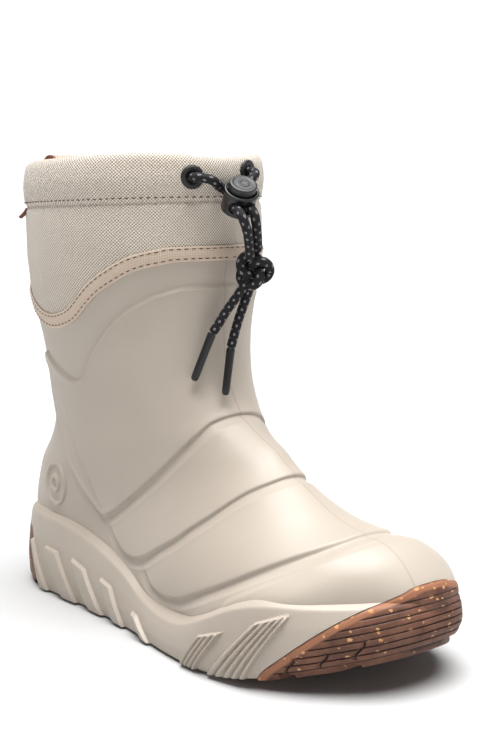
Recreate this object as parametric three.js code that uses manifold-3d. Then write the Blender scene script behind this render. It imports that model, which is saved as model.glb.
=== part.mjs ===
// Waterproof pull-on boot for the right foot: a moulded foam lower, a textile collar with a drawcord, a rubber outsole.
// Millimetres. +Z up, toe towards -Y, +X towards the inside of the foot. The origin is on the floor under the heel.
import * as THREE from 'three';
import { mergeVertices } from 'three/addons/utils/BufferGeometryUtils.js';
import Module from 'manifold-3d';

const wasm = await Module();
wasm.setup();

// Main sizes
const LENGTH = 285; // back of the heel to the tip of the toe
const BALL_WIDTH = 104; // outsole across the ball
const HEIGHT = 236; // floor to the collar's rim at the front
const HEEL_SETBACK = 42; // back of the heel to the origin
const TOE_SPRING = 19; // rise of the outsole at the toe's tip
const CLEARANCE = 0.3; // between pieces that touch

// Foam lower
const FOAM_WALL = 3.2;
const PANEL_STEP = 0.9; // each moulded panel stands this far over the next one down
const HEEL_STACK = 25; // floor to the footbed under the heel
const BALL_STACK = 16; // floor to the footbed under the ball
const FOAM_LIFT = 1.2; // floor to the foam's lower edge
const LUG_RISE = 1.7; // side lugs over the side wall
const MEDALLION_RADIUS = 12.2;
const MEDALLION_RIM = 2.2;
const MEDALLION_RISE = 0.8;

// Outsole and insole
const RUBBER_WALL = 4;
const RUBBER_LIP = 2.4; // the toe cap's thickness where it lies on the upper
const TOE_WALL_EXTRA = 2.6; // the foam wall gets this much thicker towards the toe
const PLATE_TOP = 6.5; // floor to the top of the outsole's plate
const PLATE_INSET = 6; // plate's edge inside the outline
const TREAD_DEPTH = 3;
const TREAD_GROOVE = 5; // width of a groove between tread bars
const TREAD_BAR = 16; // width of a tread bar
const ARCH_RELIEF = 2; // the arch clears the floor by this much
const INSOLE_THICKNESS = 4;

// Collar
const COLLAR_WALL = 4;
const TUNNEL_WALL = 6.4; // across the drawcord tunnel's roll
const TUNNEL_BULGE = 0.6;
const SEAM_PINCH = 1.4;
const RIM_DIP = 3; // the rim is drawn down this much at the front
const TAPE_WIDTH = 7.4;
const TAPE_THICKNESS = 0.8;

// Drawcord, eyelets and lock
const CORD_DIAMETER = 4.2;
const EYELET_OUTER_RADIUS = 5.5;
const EYELET_HOLE_RADIUS = 2.7;
const EYELET_THICKNESS = 1.7;
// name, angle from the front in radians, place between the rim, 0, and the tunnel's seam, 1
const EYELETS = [
  ['eyelet_outer', 0.345, 0.53],
  ['eyelet_inner', -0.2, 0.40],
];
const AGLET_DIAMETER = 4.4;
const LOCK_RADIUS = 8.6;
const LOCK_HEIGHT = 12;
const LOCK_SLOT_WIDTH = 12.8;
const LOCK_SLOT_TOP = 3.4; // rim to the slot's top
const LOCK_SLOT_HEIGHT = 6.4;
const LOCK_TURN = 20; // degrees that the slot is turned towards the outer side
const BUTTON_RADIUS = 6.8;
const BUTTON_RISE = 3.6; // button's top over the barrel's rim
const BUTTON_SKIRT = 1.6; // button's foot under the barrel's rim
const BUTTON_TRAVEL = 2;
const RUNNING_CLEARANCE = 0.35;

// Pull loop and seam tag
const LOOP_WIDTH = 17;
const LOOP_THICKNESS = 1.8;
const TAG_WIDTH = 18;
const TAG_REACH = 7;
const TAG_THICKNESS = 1.8;

// Sections of the upper, from the rim to the toe. Places along the boot are shares of LENGTH from the heel's back,
// heights are shares of HEIGHT, and half widths and the sideways middle are shares of BALL_WIDTH.
// widest is where between the back point and the front point the section is widest, and the last two columns
// are the exponents of its rounding towards each of them.
// backU, backZ, frontU, frontZ, outer, inner, middle, widest, backRound, frontRound
const SECTIONS = [
  [0.036, 0.975, 0.538, 1.000, 0.519, 0.501, 0.000, 0.50, 2.2, 2.2],
  [0.037, 0.875, 0.534, 0.898, 0.516, 0.501, 0.000, 0.50, 2.2, 2.2],
  [0.038, 0.784, 0.532, 0.805, 0.513, 0.503, 0.000, 0.50, 2.2, 2.2],
  [0.042, 0.686, 0.521, 0.713, 0.486, 0.476, 0.000, 0.50, 2.2, 2.2],
  [0.060, 0.585, 0.518, 0.619, 0.438, 0.423, 0.000, 0.50, 2.2, 2.2],
  [0.070, 0.479, 0.529, 0.533, 0.403, 0.393, 0.000, 0.49, 2.2, 2.2],
  [0.061, 0.373, 0.558, 0.469, 0.382, 0.367, 0.000, 0.48, 2.2, 2.2],
  [0.021, 0.263, 0.591, 0.436, 0.388, 0.369, 0.000, 0.45, 2.3, 2.1],
  [0.013, 0.144, 0.621, 0.416, 0.388, 0.368, 0.000, 0.42, 2.6, 2.0],
  [0.070, 0.051, 0.655, 0.397, 0.382, 0.363, 0.000, 0.38, 3.2, 2.0],
  [0.211, 0.042, 0.687, 0.371, 0.385, 0.361, -0.010, 0.34, 3.8, 2.0],
  [0.368, 0.042, 0.723, 0.347, 0.405, 0.362, -0.019, 0.30, 4.0, 2.0],
  [0.509, 0.042, 0.762, 0.320, 0.450, 0.392, -0.019, 0.28, 4.0, 2.0],
  [0.632, 0.042, 0.803, 0.296, 0.481, 0.429, -0.010, 0.28, 4.0, 2.0],
  [0.737, 0.047, 0.846, 0.283, 0.481, 0.455, 0.010, 0.28, 4.0, 2.0],
  [0.825, 0.055, 0.895, 0.276, 0.447, 0.462, 0.029, 0.30, 3.6, 2.0],
  [0.895, 0.068, 0.940, 0.254, 0.337, 0.385, 0.048, 0.34, 3.0, 2.1],
  [0.947, 0.089, 0.975, 0.214, 0.197, 0.264, 0.067, 0.40, 2.5, 2.1],
  [0.982, 0.119, 0.993, 0.170, 0.063, 0.120, 0.077, 0.50, 2.1, 2.1],
];

// Plan outline of the sole, round from the heel's back by the outer side: shares of LENGTH and of BALL_WIDTH
const OUTLINE = [
  [0.000, -0.029], [0.028, -0.240], [0.088, -0.375], [0.175, -0.428], [0.316, -0.438], [0.456, -0.471],
  [0.596, -0.538], [0.702, -0.563], [0.800, -0.529], [0.881, -0.438], [0.947, -0.288], [0.986, -0.135],
  [1.000, 0.038], [0.992, 0.237], [0.951, 0.384], [0.879, 0.485], [0.789, 0.463], [0.695, 0.433],
  [0.589, 0.385], [0.456, 0.327], [0.316, 0.327], [0.175, 0.351], [0.084, 0.313], [0.026, 0.183],
];

// Side wall, from the base up: share of the way to the wall's top edge, inset from the outline, more inset at the toe,
// rise over the wall's top edge, and the share of that rise left at the toe. The last row is hidden under the upper.
const WALL_RINGS = [
  [0.00, 2.0, 5.0, 0.0, 1.0],
  [0.12, 0.4, 2.2, 0.0, 1.0],
  [0.40, 0.0, 0.2, 0.0, 1.0],
  [0.72, 1.0, 0.0, 0.0, 1.0],
  [1.00, 2.6, 1.2, 0.0, 1.0],
  [1.00, 4.0, 2.2, 1.0, 1.0],
  [1.00, 10.6, 0.0, 5.0, 0.1],
];
const WALL_DEPTH = 12; // the wall's form goes this far under its base before it is trimmed

// Lines seen from the side, as shares of LENGTH from the heel's back and of HEIGHT
const WALL_TOP = [
  [0.000, 0.170], [0.102, 0.172], [0.220, 0.168], [0.333, 0.146], [0.428, 0.113], [0.490, 0.081], [0.561, 0.067],
  [0.630, 0.072], [0.700, 0.104], [0.765, 0.140], [0.825, 0.160], [0.900, 0.166], [1.000, 0.172],
];
const JOINT_LINE = [
  [0.700, 0.792], [0.526, 0.792], [0.484, 0.784], [0.446, 0.769], [0.411, 0.746], [0.372, 0.718], [0.340, 0.689],
  [0.309, 0.661], [0.277, 0.644], [0.235, 0.634], [0.192, 0.638], [0.151, 0.655], [0.105, 0.682], [0.053, 0.699],
  [-0.100, 0.703],
];
const SHAFT_PANEL = [
  [0.700, 0.725], [0.526, 0.723], [0.494, 0.715], [0.461, 0.696], [0.415, 0.660], [0.373, 0.617], [0.341, 0.575],
  [0.319, 0.541], [0.298, 0.512], [0.270, 0.504], [0.242, 0.511], [0.193, 0.533], [0.158, 0.555], [0.140, 0.540],
  [0.140, 0.490], [0.154, 0.440], [0.180, 0.385], [0.229, 0.324], [0.270, 0.275], [0.305, 0.242], [0.334, 0.219],
  [0.354, 0.219], [0.389, 0.244], [0.462, 0.314], [0.513, 0.376], [0.546, 0.425], [0.570, 0.464], [0.700, 0.600],
];
const INSTEP_LINE = [
  [0.340, 0.240], [0.368, 0.199], [0.382, 0.180], [0.402, 0.163], [0.425, 0.152], [0.455, 0.152], [0.483, 0.162],
  [0.517, 0.187], [0.559, 0.217], [0.592, 0.248], [0.623, 0.275], [0.649, 0.303], [0.675, 0.330], [0.715, 0.364],
  [0.800, 0.460],
];
const VAMP_LINE = [
  [0.470, 0.170], [0.483, 0.148], [0.493, 0.130], [0.512, 0.112], [0.539, 0.104], [0.572, 0.104], [0.606, 0.112],
  [0.645, 0.132], [0.688, 0.156], [0.732, 0.182], [0.768, 0.206], [0.821, 0.242], [0.853, 0.264], [0.880, 0.290],
  [0.960, 0.400],
];
const TOE_LINE = [
  [0.720, 0.020], [0.735, 0.130], [0.770, 0.165], [0.825, 0.203], [0.867, 0.238], [0.904, 0.266], [0.925, 0.290],
  [1.000, 0.400],
];
const TOE_CAP_LINE = [
  [0.790, -0.060], [0.806, -0.010], [0.823, 0.031], [0.868, 0.081], [0.916, 0.134], [0.946, 0.165], [0.970, 0.188],
  [0.992, 0.207], [1.100, 0.222],
];
const HEEL_CUP_LINE = [
  [-0.100, 0.140], [0.050, 0.142], [0.095, 0.136], [0.112, 0.120], [0.138, 0.060], [0.160, -0.020], [0.170, -0.060],
];

// Side lugs: place of the top edge's two ends and of the foot's two ends, as shares of LENGTH and HEIGHT
const LUGS = [
  [[0.088, 0.118], [0.124, 0.112], [0.204, -0.030], [0.160, -0.030]],
  [[0.176, 0.112], [0.220, 0.108], [0.306, -0.030], [0.252, -0.030]],
  [[0.268, 0.106], [0.314, 0.093], [0.400, -0.030], [0.346, -0.030]],
  [[0.368, 0.090], [0.406, 0.080], [0.474, -0.030], [0.434, -0.030]],
  [[0.478, 0.052], [0.500, 0.048], [0.590, -0.030], [0.560, -0.030]],
  [[0.700, 0.076], [0.757, 0.094], [0.672, -0.030], [0.630, -0.030]],
  [[0.815, 0.114], [0.872, 0.127], [0.782, -0.030], [0.694, -0.030]],
];
const MEDALLION_PLACE = [0.178, 0.252]; // share of LENGTH and of HEIGHT
const TAG_PLACE = 2.32; // angle of the seam tag from the front, towards the outer side, in radians

// Cord points, chosen by hand: x, distance in front of the heel's back, height
const CORD_OUTER = [
  [-19.1, 146.8, 223.7], [-20.3, 149.5, 223.5], [-21.5, 152.2, 223.4], [-21.9, 155.2, 223.4], [-20.9, 158.0, 223.2],
  [-18.0, 160.2, 222.4], [-14.4, 160.2, 220.8], [-10.3, 157.7, 219.0], [-6.1, 155.9, 217.8], [-5.7, 159.6, 215.3],
  [-7.2, 163.3, 212.5], [-8.8, 166.8, 210.1], [-10.3, 170.2, 208.4], [-11.2, 173.8, 206.9], [-11.1, 176.1, 204.0],
  [-9.4, 176.0, 200.6], [-7.0, 174.6, 197.2], [-4.8, 172.8, 193.6], [-3.0, 171.2, 190.5],
  [0.5, 168.1, 184.6],
];
const CORD_INNER = [
  [11.4, 149.1, 226.6], [12.1, 152.0, 226.4], [12.8, 154.9, 226.3], [12.2, 157.8, 225.5], [9.6, 159.6, 223.6],
  [5.8, 160.0, 220.8], [2.6, 160.8, 217.7], [0.6, 163.2, 215.0], [-0.9, 166.2, 212.7], [-2.2, 169.4, 210.2],
  [-3.1, 172.8, 208.6], [-3.3, 175.2, 205.8], [-2.5, 175.4, 202.2], [-1.0, 174.2, 199.0], [0.9, 172.4, 195.6],
  [2.8, 170.4, 192.6], [5.5, 167.2, 188.0],
];
const TAIL_OUTER = [
  [-0.5, 163.1, 170.0], [-3.0, 159.3, 163.6], [-5.6, 156.8, 158.6], [-8.6, 155.2, 153.2], [-11.6, 153.6, 148.2],
];
const AGLET_OUTER = [[-11.9, 153.4, 147.5], [-20.4, 149.9, 125.2]];
const TAIL_INNER = [
  [4.1, 163.1, 169.7], [3.0, 160.6, 162.8], [1.6, 158.4, 155.6], [-0.4, 157.2, 147.8], [-2.4, 156.6, 140.4],
];
const AGLET_INNER = [[-2.5, 156.7, 139.7], [-8.6, 159.8, 118.0]];
const KNOT_CENTRE = [3.9, 166.2, 178.8];
const KNOT_RADIUS = 5.2;
const KNOT_TUBE = 2.1;
const KNOT_TURN = 40; // degrees that the knot's face is turned towards the outer side
const LOCK_RIM = [-5.0, 168.2, 217.8]; // middle of the barrel's rim
const LOCK_LEAN = [-0.205, 0.55]; // sideways and forward parts of the press axis

// Mesh fineness
const SECTION_PLACES = [
  1.8, 2.5, 3.2, 4.0, 4.8, 5.6, 6.4, 7.1, 7.8, 8.5, 9.3, 10.2, 11.1, 12.0, 12.9, 13.8, 14.6, 15.3, 16.0, 16.7, 17.4,
  18.0,
];
const NOSE_PITCH = 9; // distance between the last two sections at the toe
const ROOM_PLACES = [1.2, 2.4, 3.6, 4.8, 6, 7, 8, 9, 10, 11, 12, 13, 14, 15, 15.8, 16.6, 17];
const ROUND_STEPS = 26;
const ROOM_ROUND_STEPS = 18;
const OUTLINE_STEPS = 36;

const BACK = Math.PI;

// A point of the boot's frame from its sideways place, its distance in front of the heel's back and its height
function place(x, u, z) {
  return new THREE.Vector3(x, HEEL_SETBACK - u, z);
}

// Values of a table at a row number that needn't be whole, by Catmull-Rom between the rows
function row(table, s) {
  const k = Math.min(Math.max(Math.floor(s), 0), table.length - 2);
  const t = s - k;
  const before = table[Math.max(k - 1, 0)];
  const after = table[Math.min(k + 2, table.length - 1)];
  return table[k].map((value, c) => {
    const next = table[k + 1][c];
    const slope = (next - before[c]) / 2;
    const nextSlope = (after[c] - value) / 2;
    const bend = 3 * (next - value) - 2 * slope - nextSlope;
    const turn = 2 * (value - next) + slope + nextSlope;
    return value + t * (slope + t * (bend + t * turn));
  });
}

// Height of the toe spring at a distance in front of the heel's back
function spring(u) {
  const share = Math.max(u / LENGTH - 0.7, 0) / 0.3;
  return TOE_SPRING * share ** 1.6;
}

// Height of the footbed
function footbed(u) {
  const share = THREE.MathUtils.smoothstep(u / LENGTH, 0.2, 0.62);
  return HEEL_STACK + (BALL_STACK - HEEL_STACK) * share + 0.9 * spring(u);
}

// Point on the upper's surface at section s and angle a, 0 at the front and growing towards the outer side.
// grow moves it out of the surface, and bedLift keeps it over the footbed.
function skin(s, a, grow, bedLift = null) {
  const [bu, bz, fu, fz, outer, inner, middle, widest, backRound, frontRound] = row(SECTIONS, s);
  const back = new THREE.Vector2(bu * LENGTH, bz * HEIGHT);
  const front = new THREE.Vector2(fu * LENGTH, fz * HEIGHT);
  const wide = back.clone().lerp(front, widest);
  const axis = front.clone().sub(back).normalize();
  front.addScaledVector(axis, grow);
  back.addScaledVector(axis, -grow);
  if (bedLift !== null) {
    back.y = Math.max(back.y, footbed(back.x) + bedLift);
  }
  const ca = Math.cos(a);
  const sa = Math.sin(a);
  const end = ca >= 0 ? front : back;
  const power = 2 / (ca >= 0 ? frontRound : backRound);
  const along = wide.clone().lerp(end, Math.abs(ca) ** power);
  const half = (sa >= 0 ? outer : inner) * BALL_WIDTH + grow;
  const dip = RIM_DIP * Math.max(1 - Math.max(s, 0), 0) * Math.max(ca, 0) ** 8;
  return place(middle * BALL_WIDTH - Math.sign(sa) * half * Math.abs(sa) ** power, along.x, along.y - dip);
}

// Ring of points round section s
function skinRing(s, grow, bedLift = null, count = ROUND_STEPS) {
  return Array.from({ length: count }, (_, i) => skin(s, (2 * Math.PI * i) / count, grow, bedLift));
}

// Closed mesh over rings of equally many points, with a flat fan at each end, or closed on itself
function ringGeometry(rings, loop = false) {
  const count = rings[0].length;
  const points = rings.flat();
  const index = [];
  const bands = loop ? rings.length : rings.length - 1;
  for (let r = 0; r < bands; r += 1) {
    for (let i = 0; i < count; i += 1) {
      const a = r * count + i;
      const b = r * count + ((i + 1) % count);
      const c = ((r + 1) % rings.length) * count + i;
      const d = ((r + 1) % rings.length) * count + ((i + 1) % count);
      index.push(a, c, b, b, c, d);
    }
  }
  if (!loop) {
    for (const [ring, flip] of [[0, false], [rings.length - 1, true]]) {
      const middle = points.length;
      const centre = new THREE.Vector3();
      rings[ring].forEach((p) => centre.addScaledVector(p, 1 / count));
      points.push(centre);
      for (let i = 0; i < count; i += 1) {
        const a = ring * count + i;
        const b = ring * count + ((i + 1) % count);
        index.push(...(flip ? [middle, b, a] : [middle, a, b]));
      }
    }
  }
  const geometry = new THREE.BufferGeometry().setFromPoints(points);
  geometry.setIndex(index);
  return geometry;
}

// Solid of a closed mesh, whichever way its faces point
function solid(geometry) {
  const bare = geometry.clone();
  bare.deleteAttribute('normal');
  bare.deleteAttribute('uv');
  const merged = mergeVertices(bare, 1e-4);
  const positions = merged.getAttribute('position');
  const triangles = Array.from(merged.getIndex().array);
  const a = new THREE.Vector3();
  const b = new THREE.Vector3();
  const c = new THREE.Vector3();
  let volume = 0;
  for (let i = 0; i < triangles.length; i += 3) {
    a.fromBufferAttribute(positions, triangles[i]);
    b.fromBufferAttribute(positions, triangles[i + 1]);
    c.fromBufferAttribute(positions, triangles[i + 2]);
    volume += a.dot(b.cross(c));
  }
  if (volume < 0) {
    triangles.reverse();
  }
  const mesh = new wasm.Mesh({
    numProp: 3,
    vertProperties: new Float32Array(positions.array),
    triVerts: new Uint32Array(triangles),
  });
  return new wasm.Manifold(mesh);
}

// Solid between two planes of X over an outline seen from the side, given as points (u, z)
function sidePrism(points, fromX = -BALL_WIDTH, toX = BALL_WIDTH) {
  const extruded = new THREE.ExtrudeGeometry(new THREE.Shape(points), {
    depth: toX - fromX,
    bevelEnabled: false,
  });
  const positions = extruded.getAttribute('position');
  for (let i = 0; i < positions.count; i += 1) {
    const p = place(fromX + positions.getZ(i), positions.getX(i), positions.getY(i));
    positions.setXYZ(i, p.x, p.y, p.z);
  }
  return solid(extruded);
}

// Smooth line through a table of shares, as points (u, z), moved sideways by shift to its left
function sideLine(table, shift = 0, steps = 2) {
  const curve = new THREE.SplineCurve(table.map(([u, z]) => new THREE.Vector2(u * LENGTH, z * HEIGHT)));
  const count = (table.length - 1) * steps;
  return Array.from({ length: count + 1 }, (_, i) => {
    const point = curve.getPoint(i / count);
    const along = curve.getTangent(i / count);
    return point.add(new THREE.Vector2(-along.y, along.x).multiplyScalar(shift));
  });
}

// Corners that close a side view outline far above, below, behind or in front of the boot
const FAR = 2;
const above = (u) => new THREE.Vector2(u * LENGTH, FAR * HEIGHT);
const below = (u) => new THREE.Vector2(u * LENGTH, -HEIGHT);

// The upper as one filled form, grown by a distance
function upperForm(grow) {
  const last = SECTION_PLACES.length - 1;
  const rings = SECTION_PLACES.map((s, i) => skinRing(i < last ? s : s + (grow + PANEL_STEP) / NOSE_PITCH, grow));
  return solid(ringGeometry(rings));
}

// The plan outline, sampled, with each point's direction inwards
const outlineCurve = new THREE.CatmullRomCurve3(
  OUTLINE.map(([u, x]) => place(x * BALL_WIDTH, u * LENGTH, 0)),
  true,
  'catmullrom',
  0.5,
);
const outline = Array.from({ length: OUTLINE_STEPS }, (_, i) => {
  const t = i / OUTLINE_STEPS;
  const along = outlineCurve.getTangent(t);
  return { point: outlineCurve.getPoint(t), inwards: new THREE.Vector3(along.y, -along.x, 0) };
});
const outlineCentre = place(0, LENGTH / 2, 0);
if (outline[0].inwards.dot(outlineCentre.clone().sub(outline[0].point)) < 0) {
  outline.forEach((sample) => sample.inwards.negate());
}

const wallTopCurve = new THREE.SplineCurve(WALL_TOP.map(([u, z]) => new THREE.Vector2(u * LENGTH, z * HEIGHT)));
const wallTopPoints = wallTopCurve.getPoints(WALL_TOP.length * 6);

// Height of the side wall's top edge
function wallTop(u) {
  const next = wallTopPoints.findIndex((p) => p.x > u);
  if (next < 1) {
    return wallTopPoints[next === 0 ? 0 : wallTopPoints.length - 1].y;
  }
  const a = wallTopPoints[next - 1];
  const b = wallTopPoints[next];
  return a.y + ((b.y - a.y) * (u - a.x)) / (b.x - a.x);
}

// Strip of the side view under a height over the sprung base
function underBase(height) {
  const steps = 18;
  const line = Array.from({ length: steps + 1 }, (_, i) => {
    const u = (0.6 + (0.5 * i) / steps) * LENGTH;
    return new THREE.Vector2(u, spring(Math.min(u, LENGTH)) + height);
  });
  return sidePrism([new THREE.Vector2(-0.1 * LENGTH, height), ...line, below(1.1), below(-0.1)]);
}

// Closed mesh over rings of equally many points whose first and last ring are filled as plan outlines
function cappedGeometry(rings) {
  const count = rings[0].length;
  const bands = (rings.length - 1) * count * 6;
  const index = Array.from(ringGeometry(rings).getIndex().array).slice(0, bands);
  const faces = THREE.ShapeUtils.triangulateShape(rings[0].map((p) => new THREE.Vector2(p.x, p.y)), []);
  const top = (rings.length - 1) * count;
  const runsForward = faces.some((face) => face.some((v, k) => v === 0 && face[(k + 1) % 3] === 1));
  for (const [a, b, c] of faces) {
    index.push(...(runsForward ? [a, b, c, top + c, top + b, top + a] : [c, b, a, top + a, top + b, top + c]));
  }
  const geometry = new THREE.BufferGeometry().setFromPoints(rings.flat());
  geometry.setIndex(index);
  return geometry;
}

// The side wall as one filled form, moved in by a distance
function wallForm(inset) {
  const ringAt = ([share, ringInset, toeInset, rise, toeRise]) => outline.map(({ point, inwards }) => {
    const u = HEEL_SETBACK - point.y;
    const toe = THREE.MathUtils.smoothstep(u / LENGTH, 0.8, 0.93);
    const base = spring(u);
    const p = point.clone().addScaledVector(inwards, inset + ringInset + toe * toeInset);
    p.z = base + share * (wallTop(u) - base) + rise * (1 + toe * (toeRise - 1));
    return p;
  });
  const rings = WALL_RINGS.map(ringAt);
  const foot = rings[0].map((p) => new THREE.Vector3(p.x, p.y, -WALL_DEPTH));
  return solid(cappedGeometry([foot, ...rings])).subtract(underBase(0));
}

// The whole lower boot as one filled form, without lugs: panels stepped one over the next
function bootForm(grow) {
  const shaft = sideLine(SHAFT_PANEL, 0, 1);
  const instep = sideLine(INSTEP_LINE, 0, 1);
  const vamp = sideLine(VAMP_LINE, 0, 1);
  const toe = sideLine(TOE_LINE, 0, 1);
  const aboveInstep = sidePrism([...instep, above(0.9), above(-0.5), new THREE.Vector2(-0.5 * LENGTH, 0.24 * HEIGHT)]);
  const aboveVamp = sidePrism([...vamp, above(1.1), above(-0.5), new THREE.Vector2(-0.5 * LENGTH, 0.17 * HEIGHT)]);
  const toePanel = sidePrism([...toe, above(1.4), below(1.4), below(0.72)]);
  const rest = upperForm(grow - 2 * PANEL_STEP);
  const third = upperForm(grow - PANEL_STEP).intersect(aboveVamp.add(toePanel));
  const second = upperForm(grow).intersect(aboveInstep);
  const first = upperForm(grow + PANEL_STEP).intersect(sidePrism(shaft));
  return rest.add(third).add(second).add(first).add(wallForm(-grow));
}

// The side lugs and the medallion, as the parts of a slightly larger form that lie within their outlines
function reliefs() {
  const lugs = LUGS.map((corners) => {
    const points = corners.map(([u, z]) => new THREE.Vector2(u * LENGTH, z * HEIGHT + spring(u * LENGTH)));
    return sidePrism(points);
  });
  const lugZone = lugs.reduce((sum, lug) => sum.add(lug));
  const raised = wallForm(-LUG_RISE).intersect(lugZone);
  const disc = new THREE.Shape();
  const [mu, mz] = MEDALLION_PLACE;
  disc.absarc(mu * LENGTH, mz * HEIGHT, MEDALLION_RADIUS, 0, 2 * Math.PI);
  const hole = new THREE.Shape();
  hole.absarc(mu * LENGTH, mz * HEIGHT, MEDALLION_RADIUS - MEDALLION_RIM, 0, 2 * Math.PI);
  const segments = 4;
  const ring = sidePrism(disc.getPoints(segments).slice(0, -1), -BALL_WIDTH, 0)
    .subtract(sidePrism(hole.getPoints(segments).slice(0, -1), -BALL_WIDTH, 0));
  return raised.add(upperForm(MEDALLION_RISE).intersect(ring));
}

// Side view zones of the toe cap and the heel cup, moved outwards by a gap
function rubberZones(gap) {
  const toe = sideLine(TOE_CAP_LINE, gap);
  const heel = sideLine(HEEL_CUP_LINE, gap);
  return sidePrism([...toe, below(1.1), below(0.8)]).add(sidePrism([...heel, below(0.1), below(-0.1)]));
}

// The foot's room: the upper's form moved in by the wall and stopped at the footbed
function footRoom(inset, bedLift, places = ROOM_PLACES) {
  const rings = places.map((s) => {
    const extra = TOE_WALL_EXTRA * THREE.MathUtils.smoothstep(s, 14.5, 16.5);
    return skinRing(s, -inset - extra, bedLift, ROOM_ROUND_STEPS);
  });
  return solid(ringGeometry(rings));
}

// Plate of the outsole up to a height over its base, its edge moved out by a distance
function plateForm(grow, top) {
  const rings = [-WALL_DEPTH, 2 * WALL_DEPTH + TOE_SPRING].map((height) => outline.map(({ point, inwards }) => {
    const p = point.clone().addScaledVector(inwards, PLATE_INSET - grow);
    p.z = height;
    return p;
  }));
  return solid(cappedGeometry(rings)).intersect(underBase(top));
}

const boot = bootForm(0);

// What the outsole's toe cap and heel cup wrap round, moved in by a gap
function rubberCore(gap) {
  const upper = upperForm(-RUBBER_LIP - PANEL_STEP - gap);
  return wallForm(RUBBER_WALL + gap).add(upper).subtract(underBase(PLATE_TOP + gap));
}

function makeOutsole() {
  const zones = rubberZones(0);
  const core = rubberCore(0);
  let rubber = boot.intersect(zones).subtract(core).add(plateForm(0, PLATE_TOP)).subtract(underBase(0));
  const pitch = TREAD_BAR + TREAD_GROOVE;
  const bars = Math.floor((0.9 * LENGTH) / pitch);
  for (let i = 1; i <= bars; i += 1) {
    const u = 0.04 * LENGTH + i * pitch;
    const depth = spring(u) + TREAD_DEPTH;
    const groove = [[u, -1], [u + TREAD_GROOVE, -1], [u + TREAD_GROOVE, depth], [u, depth]];
    rubber = rubber.subtract(sidePrism(groove.map(([gu, gz]) => new THREE.Vector2(gu, gz))));
  }
  const arch = [[0.29, -0.02], [0.31, ARCH_RELIEF / HEIGHT], [0.43, ARCH_RELIEF / HEIGHT], [0.45, -0.02]];
  return rubber.subtract(sidePrism(arch.map(([u, z]) => new THREE.Vector2(u * LENGTH, z * HEIGHT))));
}

function makeFoamLower() {
  const rubber = rubberZones(CLEARANCE).subtract(rubberCore(CLEARANCE));
  const overJoint = sidePrism([...sideLine(JOINT_LINE, CLEARANCE / 2), above(-0.1), above(0.7)]);
  return boot.add(reliefs())
    .subtract(rubber)
    .subtract(plateForm(CLEARANCE, PLATE_TOP + CLEARANCE))
    .subtract(underBase(FOAM_LIFT))
    .subtract(footRoom(FOAM_WALL, 0))
    .subtract(overJoint);
}

function makeInsole() {
  const steps = 12;
  const line = Array.from({ length: steps + 1 }, (_, i) => {
    const u = (1.05 * LENGTH * i) / steps;
    return new THREE.Vector2(u, footbed(u) + CLEARANCE + INSOLE_THICKNESS);
  });
  const under = sidePrism([...line, below(1.05), below(0)]);
  return footRoom(FOAM_WALL + CLEARANCE, CLEARANCE, ROOM_PLACES.slice(0, -1)).intersect(under);
}

// Collar, up the outside, over the rim and down the inside: section number, outward growth of the skin, and how much
// its surface faces outwards, from 1 outside through 0 on the rim to -1 inside
const COLLAR_RINGS = [
  [4.0, 0, 1],
  [3.2, 0, 1],
  [2.5, 0, 1],
  [1.8, 0, 1],
  [1.14, -0.2, 1],
  [1.0, -SEAM_PINCH, 1],
  [0.88, 0, 1],
  [0.6, TUNNEL_BULGE, 1],
  [0.34, 0.7 * TUNNEL_BULGE, 0.9],
  [0.14, -0.5, 0.8],
  [0.03, -1.9, 0.4],
  [0.0, -3.4, 0],
  [0.05, -5.2, -0.6],
  [0.3, -TUNNEL_WALL, -1],
  [1.0, -COLLAR_WALL - SEAM_PINCH, -1],
  [2.4, -COLLAR_WALL, -1],
  [4.0, -COLLAR_WALL, -1],
];

// The collar's closed roll, thickened on all sides by a gap
function collarRoll(gap) {
  const section = (SECTIONS[0][3] - SECTIONS[1][3]) * HEIGHT;
  return solid(ringGeometry(COLLAR_RINGS.map(([s, grow, facing]) => {
    const rise = (Math.sqrt(1 - facing * facing) * gap) / section;
    return skinRing(s - rise, grow + facing * gap);
  }), true));
}

// Frame of an eyelet: its middle on the tunnel's skin and its outward direction
function eyeletFrame(a, section) {
  const at = (s, angle) => skin(s, angle, TUNNEL_BULGE);
  const middle = at(section, a);
  const across = at(section, a + 0.05).sub(at(section, a - 0.05));
  const up = at(section - 0.1, a).sub(at(section + 0.1, a));
  const out = across.cross(up).normalize();
  if (out.y > 0) {
    out.negate();
  }
  return { middle, out };
}

// Turns a piece made along +Z so that it points along a direction from a place
function pose(target, middle, direction) {
  target.position.copy(middle);
  target.quaternion.setFromUnitVectors(new THREE.Vector3(0, 0, 1), direction);
  target.updateMatrix();
  return target;
}

// Solid cylinder along a direction, from one distance to another
function rod(middle, direction, radius, from, to, sides = 16) {
  const geometry = new THREE.CylinderGeometry(radius, radius, to - from, sides);
  geometry.rotateX(Math.PI / 2);
  geometry.translate(0, 0, (from + to) / 2);
  geometry.applyMatrix4(pose(new THREE.Object3D(), middle, direction).matrix);
  return solid(geometry);
}

const EYELET_SEAT = 1.0; // depth of the flat that an eyelet sits in
const EYELET_POCKET = 4.2; // depth of the hole behind it

function makeCollar() {
  const underJoint = sidePrism([...sideLine(JOINT_LINE, -CLEARANCE / 2), below(-0.1), below(0.7)]);
  let collar = collarRoll(0).subtract(underJoint);
  for (const [, angle, section] of EYELETS) {
    const { middle, out } = eyeletFrame(angle, section);
    collar = collar.subtract(rod(middle, out, EYELET_OUTER_RADIUS + CLEARANCE, -EYELET_SEAT, 3, 14));
    collar = collar.subtract(rod(middle, out, EYELET_HOLE_RADIUS, -EYELET_POCKET, 3, 8));
  }
  return collar;
}

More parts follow.
